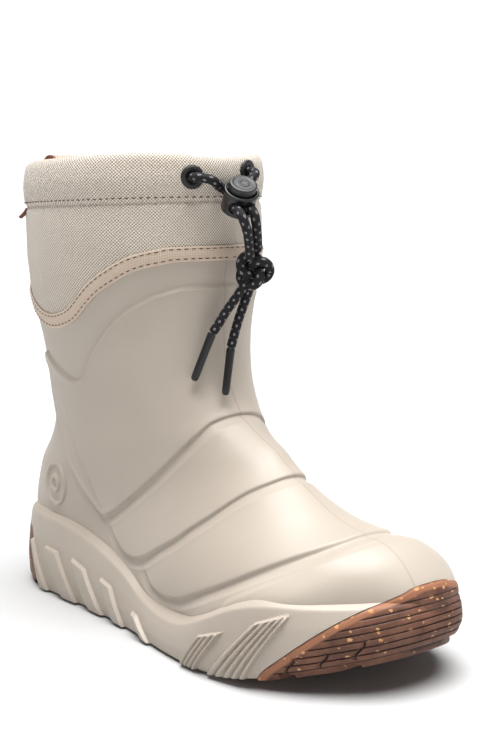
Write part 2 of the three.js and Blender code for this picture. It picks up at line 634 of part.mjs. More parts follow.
function makeTape() {
  const half = TAPE_WIDTH / 2;
  const band = sidePrism([...sideLine(JOINT_LINE, half, 1), ...sideLine(JOINT_LINE, -half, 1).reverse()]);
  const places = SECTION_PLACES.filter((s) => s < 5);
  const outer = solid(ringGeometry(places.map((s) => skinRing(s, CLEARANCE + TAPE_THICKNESS))));
  const inner = solid(ringGeometry(places.map((s) => skinRing(s, CLEARANCE))));
  return outer.subtract(inner).intersect(band);
}

function makeEyelet() {
  const wide = EYELET_OUTER_RADIUS;
  const hole = EYELET_HOLE_RADIUS;
  const low = CLEARANCE - EYELET_SEAT;
  const high = low + EYELET_THICKNESS;
  const soft = 0.6;
  const profile = [[hole, low], [wide, low], [wide, high - soft], [wide - soft, high], [hole, high], [hole, low]];
  const geometry = new THREE.LatheGeometry(profile.map(([r, z]) => new THREE.Vector2(r, z)), 14);
  geometry.rotateX(Math.PI / 2);
  return solid(geometry);
}

// Tube through a list of points, as an extruded section
function tube(points, diameter, stepLength, sides = 8) {
  const path = new THREE.CatmullRomCurve3(points.map(([x, u, z]) => place(x, u, z)));
  const section = new THREE.Shape(
    Array.from({ length: sides }, (_, i) => {
      const a = (2 * Math.PI * i) / sides;
      return new THREE.Vector2((diameter / 2) * Math.cos(a), (diameter / 2) * Math.sin(a));
    }),
  );
  const steps = Math.max(1, Math.round(path.getLength() / stepLength));
  return solid(new THREE.ExtrudeGeometry(section, { steps, bevelEnabled: false, extrudePath: path }));
}

function makeAglet([from, to]) {
  const start = place(...from);
  const along = place(...to).sub(start);
  const length = along.length();
  const r = AGLET_DIAMETER / 2;
  const profile = [[0, 0], [r, 0], [r, 0.8 * length], [0.82 * r, 0.97 * length], [0.55 * r, length], [0, length]];
  const geometry = new THREE.LatheGeometry(profile.map(([x, z]) => new THREE.Vector2(x, z)), 10);
  geometry.rotateX(Math.PI / 2);
  geometry.applyMatrix4(pose(new THREE.Object3D(), start, along.normalize()).matrix);
  return solid(geometry);
}

function makeKnot() {
  const geometry = new THREE.TorusKnotGeometry(KNOT_RADIUS, KNOT_TUBE, 34, 6, 2, 3);
  geometry.rotateX(Math.PI / 2);
  geometry.rotateZ(-THREE.MathUtils.degToRad(KNOT_TURN));
  const middle = place(...KNOT_CENTRE);
  geometry.translate(middle.x, middle.y, middle.z);
  return solid(geometry);
}

// Lock frame: up along the press axis, front out of the slot
const [leanX, leanForward] = LOCK_LEAN;
const lockUp = new THREE.Vector3(leanX, -leanForward, Math.sqrt(1 - leanX ** 2 - leanForward ** 2)).normalize();
const lockFront = new THREE.Vector3(0, -lockUp.z, lockUp.y).normalize()
  .applyAxisAngle(lockUp, -THREE.MathUtils.degToRad(LOCK_TURN));
const lockSide = new THREE.Vector3().crossVectors(lockUp, lockFront).normalize();
const lockRim = place(...LOCK_RIM);

function lathe(profile, sides) {
  const geometry = new THREE.LatheGeometry(profile.map(([r, z]) => new THREE.Vector2(r, z)), sides);
  geometry.rotateX(Math.PI / 2);
  geometry.applyMatrix4(pose(new THREE.Object3D(), lockRim, lockUp).matrix);
  return solid(geometry);
}

function makeLockBarrel() {
  const bore = BUTTON_RADIUS + RUNNING_CLEARANCE;
  const soft = 0.8;
  const low = -LOCK_SLOT_TOP - LOCK_SLOT_HEIGHT / 2;
  const barrel = lathe([
    [0, -LOCK_HEIGHT], [LOCK_RADIUS - 1.2, -LOCK_HEIGHT], [LOCK_RADIUS - 0.4, -LOCK_HEIGHT + 1.2],
    [LOCK_RADIUS - 0.4, -1.8], [LOCK_RADIUS, -1.5], [LOCK_RADIUS, -soft], [LOCK_RADIUS - soft, 0], [bore, 0],
    [bore, low], [0, low],
  ], 16);
  const slot = new THREE.BoxGeometry(LOCK_SLOT_WIDTH, 3 * LOCK_RADIUS, LOCK_SLOT_HEIGHT);
  const middle = lockRim.clone().addScaledVector(lockUp, low);
  slot.applyMatrix4(new THREE.Matrix4().makeBasis(lockSide, lockFront, lockUp).setPosition(middle));
  return barrel.subtract(solid(slot));
}

function makeLockButton() {
  const soft = 0.7;
  return lathe([
    [0, -BUTTON_SKIRT], [BUTTON_RADIUS, -BUTTON_SKIRT], [BUTTON_RADIUS, BUTTON_RISE - soft],
    [BUTTON_RADIUS - soft, BUTTON_RISE], [0, BUTTON_RISE],
  ], 16);
}

// Webbing strip along a line of the boot's middle plane, given as points (u, z)
function strip(line, width, thickness) {
  const out = line.map((p, i) => {
    const along = line[Math.min(i + 1, line.length - 1)].clone().sub(line[Math.max(i - 1, 0)]).normalize();
    return p.clone().add(new THREE.Vector2(-along.y, along.x).multiplyScalar(thickness));
  });
  return sidePrism([...line, ...out.reverse()], -width / 2, width / 2);
}

function makePullLoop() {
  const rise = 6.6;
  const backAt = (s, grow) => {
    const p = skin(s, BACK, grow);
    return new THREE.Vector2(HEEL_SETBACK - p.y, p.z);
  };
  const off = CLEARANCE;
  const line = [
    backAt(1.22, off + 0.2), backAt(1.0, off + 0.6), backAt(0.7, off + 1.1 + TUNNEL_BULGE),
    backAt(0.35, off + 1.2 + TUNNEL_BULGE), backAt(0.1, off + 1.0 + TUNNEL_BULGE),
    backAt(-0.04, off).add(new THREE.Vector2(0, rise / 2)), backAt(0, -TUNNEL_WALL / 2).add(new THREE.Vector2(0, rise)),
    backAt(-0.02, -TUNNEL_WALL - 0.6).add(new THREE.Vector2(0, rise / 2)), backAt(0.2, -TUNNEL_WALL - 1.6),
    backAt(0.6, -TUNNEL_WALL - 1.2),
  ];
  const curve = new THREE.SplineCurve(line);
  return strip(curve.getPoints(18).reverse(), LOOP_WIDTH, LOOP_THICKNESS).subtract(collarRoll(CLEARANCE));
}

function makeSeamTag() {
  const base = skin(1.0, TAG_PLACE, -SEAM_PINCH);
  const along = skin(1.0, TAG_PLACE + 0.05, 0).sub(skin(1.0, TAG_PLACE - 0.05, 0)).normalize();
  const out = new THREE.Vector3(-along.y, along.x, 0).normalize();
  if (out.x > 0) {
    out.negate();
  }
  const down = out.clone().add(new THREE.Vector3(0, 0, -1.15)).normalize();
  const side = new THREE.Vector3().crossVectors(along, down).normalize();
  const tag = new THREE.BoxGeometry(TAG_WIDTH, TAG_REACH, TAG_THICKNESS);
  tag.translate(0, TAG_REACH / 2, 0);
  tag.applyMatrix4(new THREE.Matrix4().makeBasis(along, down, side).setPosition(base));
  return solid(tag).subtract(collarRoll(CLEARANCE));
}

const FINISHES = {
  foam: { color: 0xd6cabd, roughness: 0.5, metalness: 0 },
  textile: { color: 0xc4b8a7, roughness: 0.9, metalness: 0 },
  tape: { color: 0xcdbca9, roughness: 0.85, metalness: 0 },
  gum: { color: 0x6f4a38, roughness: 0.65, metalness: 0 },
  lining: { color: 0xb9b0a4, roughness: 0.95, metalness: 0 },
  cord: { color: 0x17161a, roughness: 0.8, metalness: 0 },
  plastic: { color: 0x131316, roughness: 0.35, metalness: 0 },
  leather: { color: 0x5b3526, roughness: 0.6, metalness: 0 },
};

const group = new THREE.Group();

function add(name, body, finish) {
  const { vertProperties, triVerts } = body.getMesh();
  const geometry = new THREE.BufferGeometry();
  geometry.setAttribute('position', new THREE.BufferAttribute(new Float32Array(vertProperties), 3));
  geometry.setIndex(new THREE.BufferAttribute(new Uint32Array(triVerts), 1));
  geometry.computeVertexNormals();
  const mesh = new THREE.Mesh(geometry, new THREE.MeshStandardMaterial(FINISHES[finish]));
  mesh.name = name;
  group.add(mesh);
  return mesh;
}

add('foam_lower', makeFoamLower(), 'foam');
add('outsole', makeOutsole(), 'gum');
add('insole', makeInsole(), 'lining');
add('collar', makeCollar(), 'textile');
add('collar_tape', makeTape(), 'tape');
for (const [name, angle, section] of EYELETS) {
  const { middle, out } = eyeletFrame(angle, section);
  pose(add(name, makeEyelet(), 'cord'), middle, out);
}
const cordStep = 1.2 * CORD_DIAMETER;
add('drawcord_outer', tube(CORD_OUTER, CORD_DIAMETER, cordStep), 'cord');
add('drawcord_inner', tube(CORD_INNER, CORD_DIAMETER, cordStep), 'cord');
add('drawcord_knot', makeKnot(), 'cord');
add('tail_outer', tube(TAIL_OUTER, CORD_DIAMETER, 2 * cordStep), 'cord');
add('tail_inner', tube(TAIL_INNER, CORD_DIAMETER, 2 * cordStep), 'cord');
add('aglet_outer', makeAglet(AGLET_OUTER), 'plastic');
add('aglet_inner', makeAglet(AGLET_INNER), 'plastic');
add('lock_barrel', makeLockBarrel(), 'plastic');
add('lock_button', makeLockButton(), 'plastic');
add('pull_loop', makePullLoop(), 'leather');
add('seam_tag', makeSeamTag(), 'leather');

export default group;
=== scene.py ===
"""Waterproof boot with a drawcord collar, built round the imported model.

Tables are in shares of the boot's sizes, lengths in the functions are in millimetres,
and meshes are made in metres.
"""

import math

import bmesh
import bpy
import numpy as np
from mathutils import Matrix, Vector


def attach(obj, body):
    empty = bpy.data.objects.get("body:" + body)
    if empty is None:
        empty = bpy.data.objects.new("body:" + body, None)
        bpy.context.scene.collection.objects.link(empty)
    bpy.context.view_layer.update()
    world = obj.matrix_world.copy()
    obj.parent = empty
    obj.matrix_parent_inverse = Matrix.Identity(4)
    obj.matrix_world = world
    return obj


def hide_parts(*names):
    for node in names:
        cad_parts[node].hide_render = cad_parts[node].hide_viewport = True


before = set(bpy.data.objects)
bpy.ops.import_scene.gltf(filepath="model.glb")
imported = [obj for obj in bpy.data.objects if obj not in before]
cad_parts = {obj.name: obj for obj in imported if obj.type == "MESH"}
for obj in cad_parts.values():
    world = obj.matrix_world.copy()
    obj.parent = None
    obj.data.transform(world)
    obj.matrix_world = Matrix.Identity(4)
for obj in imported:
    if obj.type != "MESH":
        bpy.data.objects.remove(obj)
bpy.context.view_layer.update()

MM = 0.001
BODY = "boot"
BUTTON_BODY = "button"

# Main sizes
LENGTH = 285
BALL_WIDTH = 104
HEIGHT = 236
HEEL_SETBACK = 42
TOE_SPRING = 19
CLEARANCE = 0.3

# Foam lower
FOAM_WALL = 3.2
PANEL_STEP = 0.9
HEEL_STACK = 25
BALL_STACK = 16
FOAM_LIFT = 1.2
ROOM_TOP = 1.2  # section that the cut for the foot's room starts at
LUG_RISE = 2.2
MEDALLION_RADIUS = 12.2
MEDALLION_RIM = 1.8
MEDALLION_RISE = 1.3
COUNTER_RISE = 1.4
TOE_FILL = 3.0

# Outsole and insole
RUBBER_WALL = 4
RUBBER_LIP = 2.4
TOE_WALL_EXTRA = 2.6
PLATE_TOP = 6.5
PLATE_INSET = 6
PLATE_SIDES = 120
TREAD_DEPTH = 3
TREAD_GROOVE = 5
TREAD_BAR = 16
ARCH_RELIEF = 2
INSOLE_THICKNESS = 4

# Collar
COLLAR_WALL = 4
TUNNEL_WALL = 6.4
TUNNEL_BULGE = 0.6
SEAM_PINCH = 1.4
RIM_DIP = 3
TAPE_WIDTH = 7.4
TAPE_THICKNESS = 0.8
TAPE_RIB = 0.0008  # metres, as are the pitches of the other cloths
TAPE_WEFT = 0.0011

# Drawcord, eyelets and lock
CORD_DIAMETER = 4.6
EYELET_OUTER_RADIUS = 5.5
EYELET_HOLE_RADIUS = 2.7
EYELET_THICKNESS = 1.7
EYELET_SEAT = 1.0
EYELET_POCKET = 4.2
EYELET_CUT = 4
EYELETS = [("eyelet_outer", 0.345, 0.53), ("eyelet_inner", -0.2, 0.40)]
AGLET_DIAMETER = 4.4
AGLET_SIDES = 40
LOCK_RADIUS = 8.6
LOCK_HEIGHT = 12
LOCK_SLOT_WIDTH = 12.8
LOCK_SLOT_TOP = 3.4
LOCK_SLOT_HEIGHT = 6.4
LOCK_SLOT_POWER = 0.4
BUTTON_RADIUS = 6.8
BUTTON_RISE = 3.6
BUTTON_SKIRT = 0.9
RUNNING_CLEARANCE = 0.35
LOCK_RIM = (-5.0, 168.2, 217.8)
LOCK_LEAN = (-0.205, 0.55)

# Pull loop and seam tag
LOOP_WIDTH = 17
LOOP_THICKNESS = 1.8
LOOP_RISE = 3.2
LOOP_SHIFT = 4.5
BINDING_WIDTH = 1.6
TAG_WIDTH = 18
TAG_REACH = 7
TAG_THICKNESS = 1.8
TAG_PLACE = 2.32

# Sections of the upper, from the rim to the toe
# backU, backZ, frontU, frontZ, outer, inner, middle, widest, backRound, frontRound
SECTIONS = [
    [0.036, 0.975, 0.538, 1, 0.519, 0.501, 0, 0.5, 2.2, 2.2],
    [0.037, 0.875, 0.534, 0.898, 0.516, 0.501, 0, 0.5, 2.2, 2.2],
    [0.038, 0.784, 0.532, 0.805, 0.513, 0.503, 0, 0.5, 2.2, 2.2],
    [0.042, 0.686, 0.521, 0.713, 0.486, 0.476, 0, 0.5, 2.2, 2.2],
    [0.06, 0.585, 0.518, 0.619, 0.438, 0.423, 0, 0.5, 2.2, 2.2],
    [0.07, 0.479, 0.529, 0.533, 0.403, 0.393, 0, 0.49, 2.2, 2.2],
    [0.061, 0.373, 0.558, 0.469, 0.382, 0.367, 0, 0.48, 2.2, 2.2],
    [0.021, 0.263, 0.591, 0.436, 0.388, 0.369, 0, 0.45, 2.3, 2.1],
    [0.013, 0.144, 0.621, 0.416, 0.388, 0.368, 0, 0.42, 2.6, 2],
    [0.07, 0.051, 0.655, 0.397, 0.382, 0.363, 0, 0.38, 3.2, 2],
    [0.211, 0.042, 0.687, 0.371, 0.385, 0.361, -0.01, 0.34, 3.8, 2],
    [0.368, 0.042, 0.723, 0.347, 0.405, 0.362, -0.019, 0.3, 4, 2],
    [0.509, 0.042, 0.762, 0.32, 0.45, 0.392, -0.019, 0.28, 4, 2],
    [0.632, 0.042, 0.803, 0.296, 0.481, 0.429, -0.01, 0.28, 4, 2],
    [0.737, 0.047, 0.846, 0.283, 0.481, 0.455, 0.01, 0.28, 4, 2],
    [0.825, 0.055, 0.895, 0.276, 0.447, 0.462, 0.029, 0.3, 3.6, 2],
    [0.895, 0.068, 0.94, 0.254, 0.337, 0.385, 0.048, 0.34, 3, 2.1],
    [0.947, 0.089, 0.975, 0.214, 0.197, 0.264, 0.067, 0.4, 2.5, 2.1],
    [0.982, 0.119, 0.993, 0.17, 0.063, 0.12, 0.077, 0.5, 2.1, 2.1],
]
NOSE = len(SECTIONS) - 1
NOSE_DOME = 1.2

# Plan outline of the sole, round from the heel's back by the outer side
OUTLINE = [
    [0, -0.029], [0.028, -0.24], [0.088, -0.375], [0.175, -0.428], [0.316, -0.438], [0.456, -0.471],
    [0.596, -0.538], [0.702, -0.563], [0.8, -0.529], [0.881, -0.438], [0.947, -0.288], [0.986, -0.135],
    [1, 0.038], [0.992, 0.237], [0.951, 0.384], [0.879, 0.485], [0.789, 0.463], [0.695, 0.433], [0.589, 0.385],
    [0.456, 0.327], [0.316, 0.327], [0.175, 0.351], [0.084, 0.313], [0.026, 0.183],
]

# Side wall, from the base up: share of the way to the wall's top edge, inset from the outline,
# more inset at the toe, rise over the wall's top edge, and the share of that rise left at the toe
WALL_RINGS = [
    [0, 2, 5, 0, 1],
    [0.12, 0.4, 2.2, 0, 1],
    [0.4, 0, 0.2, 0, 1],
    [0.72, 1, 0, 0, 1],
    [1, 2.6, 1.2, 0, 1],
    [1, 4, 2.2, 1, 1],
    [1, 10.6, 0, 5, 0.1],
]
WALL_DEPTH = 12

# Lines seen from the side, as shares of LENGTH from the heel's back and of HEIGHT
WALL_TOP = [
    [0, 0.17], [0.102, 0.172], [0.22, 0.168], [0.333, 0.146], [0.428, 0.113], [0.49, 0.081], [0.561, 0.067],
    [0.63, 0.072], [0.7, 0.104], [0.765, 0.14], [0.825, 0.16], [0.9, 0.166], [1, 0.172],
]
JOINT_LINE = [
    [0.7, 0.792], [0.526, 0.792], [0.484, 0.784], [0.446, 0.769], [0.411, 0.746], [0.372, 0.718], [0.34, 0.689],
    [0.309, 0.661], [0.277, 0.644], [0.235, 0.634], [0.192, 0.638], [0.151, 0.655], [0.105, 0.682],
    [0.053, 0.699], [-0.1, 0.703],
]
SHAFT_PANEL = [
    [0.7, 0.725], [0.526, 0.723], [0.494, 0.715], [0.461, 0.696], [0.415, 0.66], [0.373, 0.617], [0.341, 0.575],
    [0.319, 0.541], [0.298, 0.512], [0.27, 0.504], [0.242, 0.511], [0.193, 0.533], [0.158, 0.555], [0.14, 0.54],
    [0.14, 0.49], [0.154, 0.44], [0.18, 0.385], [0.229, 0.324], [0.27, 0.275], [0.305, 0.242], [0.334, 0.219],
    [0.354, 0.219], [0.389, 0.244], [0.462, 0.314], [0.513, 0.376], [0.546, 0.425], [0.57, 0.464], [0.7, 0.6],
]
INSTEP_LINE = [
    [0.34, 0.24], [0.368, 0.199], [0.382, 0.18], [0.402, 0.163], [0.425, 0.152], [0.455, 0.152], [0.483, 0.162],
    [0.517, 0.187], [0.559, 0.217], [0.592, 0.248], [0.623, 0.275], [0.649, 0.303], [0.675, 0.33],
    [0.715, 0.364], [0.8, 0.46],
]
VAMP_LINE = [
    [0.47, 0.17], [0.483, 0.148], [0.493, 0.13], [0.512, 0.112], [0.539, 0.104], [0.572, 0.104], [0.606, 0.112],
    [0.645, 0.132], [0.688, 0.156], [0.732, 0.182], [0.768, 0.206], [0.821, 0.242], [0.853, 0.264],
    [0.88, 0.29], [0.96, 0.4],
]
TOE_LINE = [
    [0.72, 0.02], [0.735, 0.13], [0.77, 0.165], [0.825, 0.203], [0.867, 0.238], [0.904, 0.266], [0.925, 0.29],
    [1, 0.4],
]
TOE_CAP_LINE = [
    [0.79, -0.06], [0.806, -0.01], [0.823, 0.031], [0.868, 0.081], [0.916, 0.134], [0.946, 0.165],
    [0.97, 0.188], [0.992, 0.207], [1.1, 0.222],
]
HEEL_CUP_LINE = [
    [-0.1, 0.14], [0.05, 0.142], [0.095, 0.136], [0.112, 0.12], [0.138, 0.06], [0.16, -0.02], [0.17, -0.06],
]

# Side lugs: place of the top edge's two ends and of the foot's two ends, and how many ribs each has
LUGS = [
    ([[0.088, 0.118], [0.124, 0.112], [0.204, -0.03], [0.16, -0.03]], 0),
    ([[0.176, 0.112], [0.22, 0.108], [0.306, -0.03], [0.252, -0.03]], 0),
    ([[0.268, 0.106], [0.314, 0.093], [0.4, -0.03], [0.346, -0.03]], 0),
    ([[0.368, 0.09], [0.406, 0.08], [0.474, -0.03], [0.434, -0.03]], 0),
    ([[0.478, 0.052], [0.5, 0.048], [0.59, -0.03], [0.56, -0.03]], 0),
    ([[0.7, 0.076], [0.757, 0.094], [0.672, -0.03], [0.63, -0.03]], 4),
    ([[0.815, 0.114], [0.872, 0.127], [0.782, -0.03], [0.694, -0.03]], 5),
]
MEDALLION_PLACE = (0.178, 0.252)

# Cord points: x, distance in front of the heel's back, height
CORD_OUTER = [
    [-19.1, 146.8, 223.7], [-20.3, 149.5, 223.5], [-21.5, 152.2, 223.4], [-21.9, 155.2, 223.4],
    [-20.9, 158, 223.2], [-18, 160.2, 222.4], [-14.4, 160.2, 220.8], [-10.3, 157.7, 219], [-6.1, 155.9, 217.8],
    [-5.7, 159.6, 215.3], [-7.2, 163.3, 212.5], [-8.8, 166.8, 210.1], [-10.3, 170.2, 208.4],
    [-11.2, 173.8, 206.9], [-11.1, 176.1, 204], [-9.4, 176, 200.6], [-7, 174.6, 197.2], [-4.8, 172.8, 193.6],
    [-3, 171.2, 190.5], [0.5, 168.1, 184.6],
]
CORD_INNER = [
    [11.4, 149.1, 226.6], [12.1, 152, 226.4], [12.8, 154.9, 226.3], [12.2, 157.8, 225.5], [9.6, 159.6, 223.6],
    [5.8, 160, 220.8], [2.6, 160.8, 217.7], [0.6, 163.2, 215], [-0.9, 166.2, 212.7], [-2.2, 169.4, 210.2],
    [-3.1, 172.8, 208.6], [-3.3, 175.2, 205.8], [-2.5, 175.4, 202.2], [-1, 174.2, 199], [0.9, 172.4, 195.6],
    [2.8, 170.4, 192.6], [5.5, 167.2, 188],
]
TAIL_OUTER = [
    [1.6, 165.6, 175.6], [-0.5, 163.1, 170], [-3, 159.3, 163.6], [-5.6, 156.8, 158.6], [-8.6, 155.2, 153.2],
    [-11.6, 153.6, 148.2],
]
AGLET_OUTER = [[-11.9, 153.4, 147.5], [-20.4, 149.9, 125.2]]
TAIL_INNER = [
    [5, 165.6, 176], [4.1, 163.1, 169.7], [3, 160.6, 162.8], [1.6, 158.4, 155.6], [-0.4, 157.2, 147.8],
    [-2.4, 156.6, 140.4],
]
AGLET_INNER = [[-2.5, 156.7, 139.7], [-8.6, 159.8, 118]]
KNOT_CENTRE = (3.9, 166.2, 178.8)
KNOT_RADIUS = 5.2
KNOT_TURN = 40
KNOT_CORD_RADIUS = 2.45


# ---- camera ----

CAMERA_PLACE = (-431.73, -626.16, 224.71)
CAMERA_YAW = 0.7050
CAMERA_PITCH = 0.1401
FOCAL_PIXELS = 1371.15
PHOTO_WIDTH = 480
SENSOR = 36


def make_camera():
    sy, cy = math.sin(CAMERA_YAW), math.cos(CAMERA_YAW)
    sp, cp = math.sin(CAMERA_PITCH), math.cos(CAMERA_PITCH)
    forward = Vector((sy * cp, cy * cp, -sp))
    right = Vector((cy, -sy, 0))
    up = right.cross(forward)
    data = bpy.data.cameras.new("camera")
    data.sensor_fit = "HORIZONTAL"
    data.sensor_width = SENSOR
    data.lens = FOCAL_PIXELS / PHOTO_WIDTH * SENSOR
    data.clip_start = 0.01
    data.clip_end = 50
    camera = bpy.data.objects.new("camera", data)
    bpy.context.scene.collection.objects.link(camera)
    turn = Matrix((right, up, -forward)).transposed().to_4x4()
    camera.matrix_world = Matrix.Translation(Vector(CAMERA_PLACE) * MM) @ turn
    bpy.context.scene.camera = camera


make_camera()


# ---- shapes ----


def unit(v):
    return v / np.linalg.norm(v, axis=-1, keepdims=True)


def row(table, s):
    """Values of a table at row numbers that needn't be whole, by Catmull-Rom between the rows."""
    table = np.asarray(table, float)
    s = np.asarray(s, float)
    k = np.clip(np.floor(s).astype(int), 0, len(table) - 2)
    t = (s - k)[..., None]
    value, following = table[k], table[k + 1]
    slope = (following - table[np.maximum(k - 1, 0)]) / 2
    next_slope = (table[np.minimum(k + 2, len(table) - 1)] - value) / 2
    bend = 3 * (following - value) - 2 * slope - next_slope
    turn = 2 * (value - following) + slope + next_slope
    return value + t * (slope + t * (bend + t * turn))


def smooth(x, low, high):
    t = np.clip((np.asarray(x, float) - low) / (high - low), 0, 1)
    return t * t * (3 - 2 * t)


def hill(x, low, full, falling, high):
    return smooth(x, low, full) * (1 - smooth(x, falling, high))


def spring(u):
    return TOE_SPRING * (np.maximum(np.asarray(u) / LENGTH - 0.7, 0) / 0.3) ** 1.6


def footbed(u):
    return HEEL_STACK + (BALL_STACK - HEEL_STACK) * smooth(np.asarray(u) / LENGTH, 0.2, 0.62) + 0.9 * spring(u)


def skin(s, a, grow=0.0, bed_lift=None):
    """Points (x, u, z) on the upper's surface at sections s and angles a, which start at the front."""
    s, a, grow = np.broadcast_arrays(np.asarray(s, float), np.asarray(a, float), np.asarray(grow, float))
    bu, bz, fu, fz, outer, inner, middle, widest, back_round, front_round = np.moveaxis(
        row(SECTIONS, np.minimum(s, NOSE)), -1, 0
    )
    back = np.stack([bu * LENGTH, bz * HEIGHT], -1)
    front = np.stack([fu * LENGTH, fz * HEIGHT], -1)
    wide = back + (front - back) * widest[..., None]
    axis = unit(front - back)
    front = front + axis * grow[..., None]
    back = back - axis * grow[..., None]
    if bed_lift is not None:
        back[..., 1] = np.maximum(back[..., 1], footbed(back[..., 0]) + bed_lift)
    ca, sa = np.cos(a), np.sin(a)
    ahead = ca >= 0
    end = np.where(ahead[..., None], front, back)
    power = 2 / np.where(ahead, front_round, back_round)
    along = wide + (end - wide) * (np.abs(ca) ** power)[..., None]
    half = np.where(sa >= 0, outer, inner) * BALL_WIDTH + grow
    dip = RIM_DIP * np.maximum(1 - np.maximum(s, 0), 0) * np.maximum(ca, 0) ** 8
    x = middle * BALL_WIDTH - np.sign(sa) * half * np.abs(sa) ** power
    return np.stack([x, along[..., 0], along[..., 1] - dip], -1)


def nose(points, s):
    """Closes the last section of the upper with a low dome, for s beyond it."""
    over = np.clip(s - NOSE, 0, 1)
    centre = skin(np.full(2, NOSE), np.array([0, math.pi])).mean(axis=0)
    dome = centre + (points - centre) * np.sqrt(1 - over**2)[..., None]
    dome[..., 1] += NOSE_DOME * over
    return np.where((s > NOSE)[..., None], dome, points)


def side_line(table, per_row, shift=0.0):
    """Smooth side-view line in millimetres, moved to its left by shift."""
    count = (len(table) - 1) * per_row + 1
    line = row(table, np.linspace(0, len(table) - 1, count)) * [LENGTH, HEIGHT]
    along = unit(np.gradient(line, axis=0))
    return line + shift * np.stack([-along[:, 1], along[:, 0]], -1)


def beside(line, u, z):
    """Signed distance of points from a side-view line, positive to its left."""
    best = np.full(np.shape(u), np.inf)
    signed = np.zeros(np.shape(u))
    for a, b in zip(line[:-1], line[1:]):
        du, dz = b - a
        length = math.hypot(du, dz)
        t = np.clip(((u - a[0]) * du + (z - a[1]) * dz) / length**2, 0, 1)
        distance = np.hypot(u - a[0] - t * du, z - a[1] - t * dz)
        side = (z - a[1]) * du - (u - a[0]) * dz
        nearer = distance < best
        best = np.where(nearer, distance, best)
        signed = np.where(nearer, np.where(side >= 0, distance, -distance), signed)
    return signed


def profile(pairs, soft):
    """Height over a signed distance, through pairs, with its corners softened over a length."""
    step = 0.05
    d = np.arange(-14, 8, step)
    pairs = sorted(pairs)
    h = np.interp(d, [p[0] for p in pairs], [p[1] for p in pairs])
    reach = np.arange(-4 * soft, 4 * soft + step, step)
    kernel = np.exp(-((reach / soft) ** 2) / 2)
    padded = np.pad(h, len(reach) // 2, mode="edge")
    h = np.convolve(padded, kernel / kernel.sum(), mode="same")[len(reach) // 2 : len(reach) // 2 + len(d)]
    return lambda x: np.interp(x, d, h)


# Height of a panel's edge over the panel: a rounded lip, a cove under it and the ridge that ends the cove
COVE = profile(
    [
        (3.0, 0), (1.2, -0.05), (0.5, -0.3), (0, -0.9), (-0.4, -1.7), (-0.9, -2.1), (-1.6, -2.1), (-3.0, -1.8),
        (-4.4, -1.4), (-5.6, -0.85), (-6.1, -0.75), (-7.2, -0.9), (-12, -PANEL_STEP),
    ],
    0.22,
)
STEP = profile(
    [(3.5, 0), (1.6, 0.35), (0.7, 0.45), (-0.3, -1.2), (-0.9, -1.5), (-2.4, -1.15), (-4.5, -PANEL_STEP)], 0.2
)
BEVEL = profile([(-3, 0), (-0.6, 0.0), (1.9, 1.0), (4, 1.0)], 0.3)

shaft_line = side_line(SHAFT_PANEL, 3)
instep_line = side_line(INSTEP_LINE, 3)
vamp_line = side_line(VAMP_LINE, 3)
toe_line = side_line(TOE_LINE, 4)
toe_cap_line = side_line(TOE_CAP_LINE, 6)
joint_line = side_line(JOINT_LINE, 6)
wall_top_line = side_line(WALL_TOP, 8)


def wall_top(u):
    return np.interp(u, wall_top_line[:, 0], wall_top_line[:, 1])


def away(line, u, z):
    """Distance from a line's first point."""
    return np.hypot(u - line[0][0], z - line[0][1])


def from_medallion(u, z):
    return np.hypot(u - MEDALLION_PLACE[0] * LENGTH, z - MEDALLION_PLACE[1] * HEIGHT)


def panels(x, u, z):
    """How far the moulded panels stand out of the upper's own surface."""
    along, up = u / LENGTH, z / HEIGHT
    d = beside(shaft_line, u, z)
    cove = smooth(along, 0.335, 0.385) * (1 - smooth(up, 0.5, 0.6))
    height = PANEL_STEP + (1 - cove) * STEP(d) + cove * COVE(d)
    there = smooth(away(instep_line, u, z), 8, 26)
    below = beside(instep_line, u, z)
    height = height + smooth(-d, -1, 5) * (there * COVE(below) - (1 - there) * PANEL_STEP / 2)
    there = smooth(away(vamp_line, u, z), 6, 20)
    under = smooth(-below, -1, 5) * (there * COVE(beside(vamp_line, u, z)) - (1 - there) * PANEL_STEP / 2)
    height = height + under * BEVEL(beside(toe_line, u, z)) * (1 - 0.5 * smooth(along, 0.84, 0.93))
    counter = smooth(up, 0.345, 0.29) * smooth(up, 0.1, 0.2) * (1 - smooth(along, 0.05, 0.17))
    height = height + COUNTER_RISE * counter
    brow = hill(along, 0.6, 0.7, 0.82, 0.93)
    height = height + TOE_FILL * brow * (1 - smooth(z - wall_top(u), 1, 15))
    r = from_medallion(u, z)
    inner = MEDALLION_RADIUS - MEDALLION_RIM
    ring = hill(r, inner - 0.9, inner, MEDALLION_RADIUS - 0.7, MEDALLION_RADIUS + 0.1)
    hub = hill(r, 2.4, 3.2, 4.6, 5.4)
    return height + np.where(x < 0, MEDALLION_RISE * (ring + hub), 0)


# ---- meshes ----

# Columns that the first meshes have round the boot, before they are refined
ROOM_COLUMNS = 48
UPPER_COLUMNS = 64
WALL_COLUMNS = 180
RUBBER_COLUMNS = 150
COLLAR_COLUMNS = 90
WELD = 1e-6
CAP_WELD = 2e-6
FLAT_EDGE = 1e-7
REFINE_ROUNDS = 9


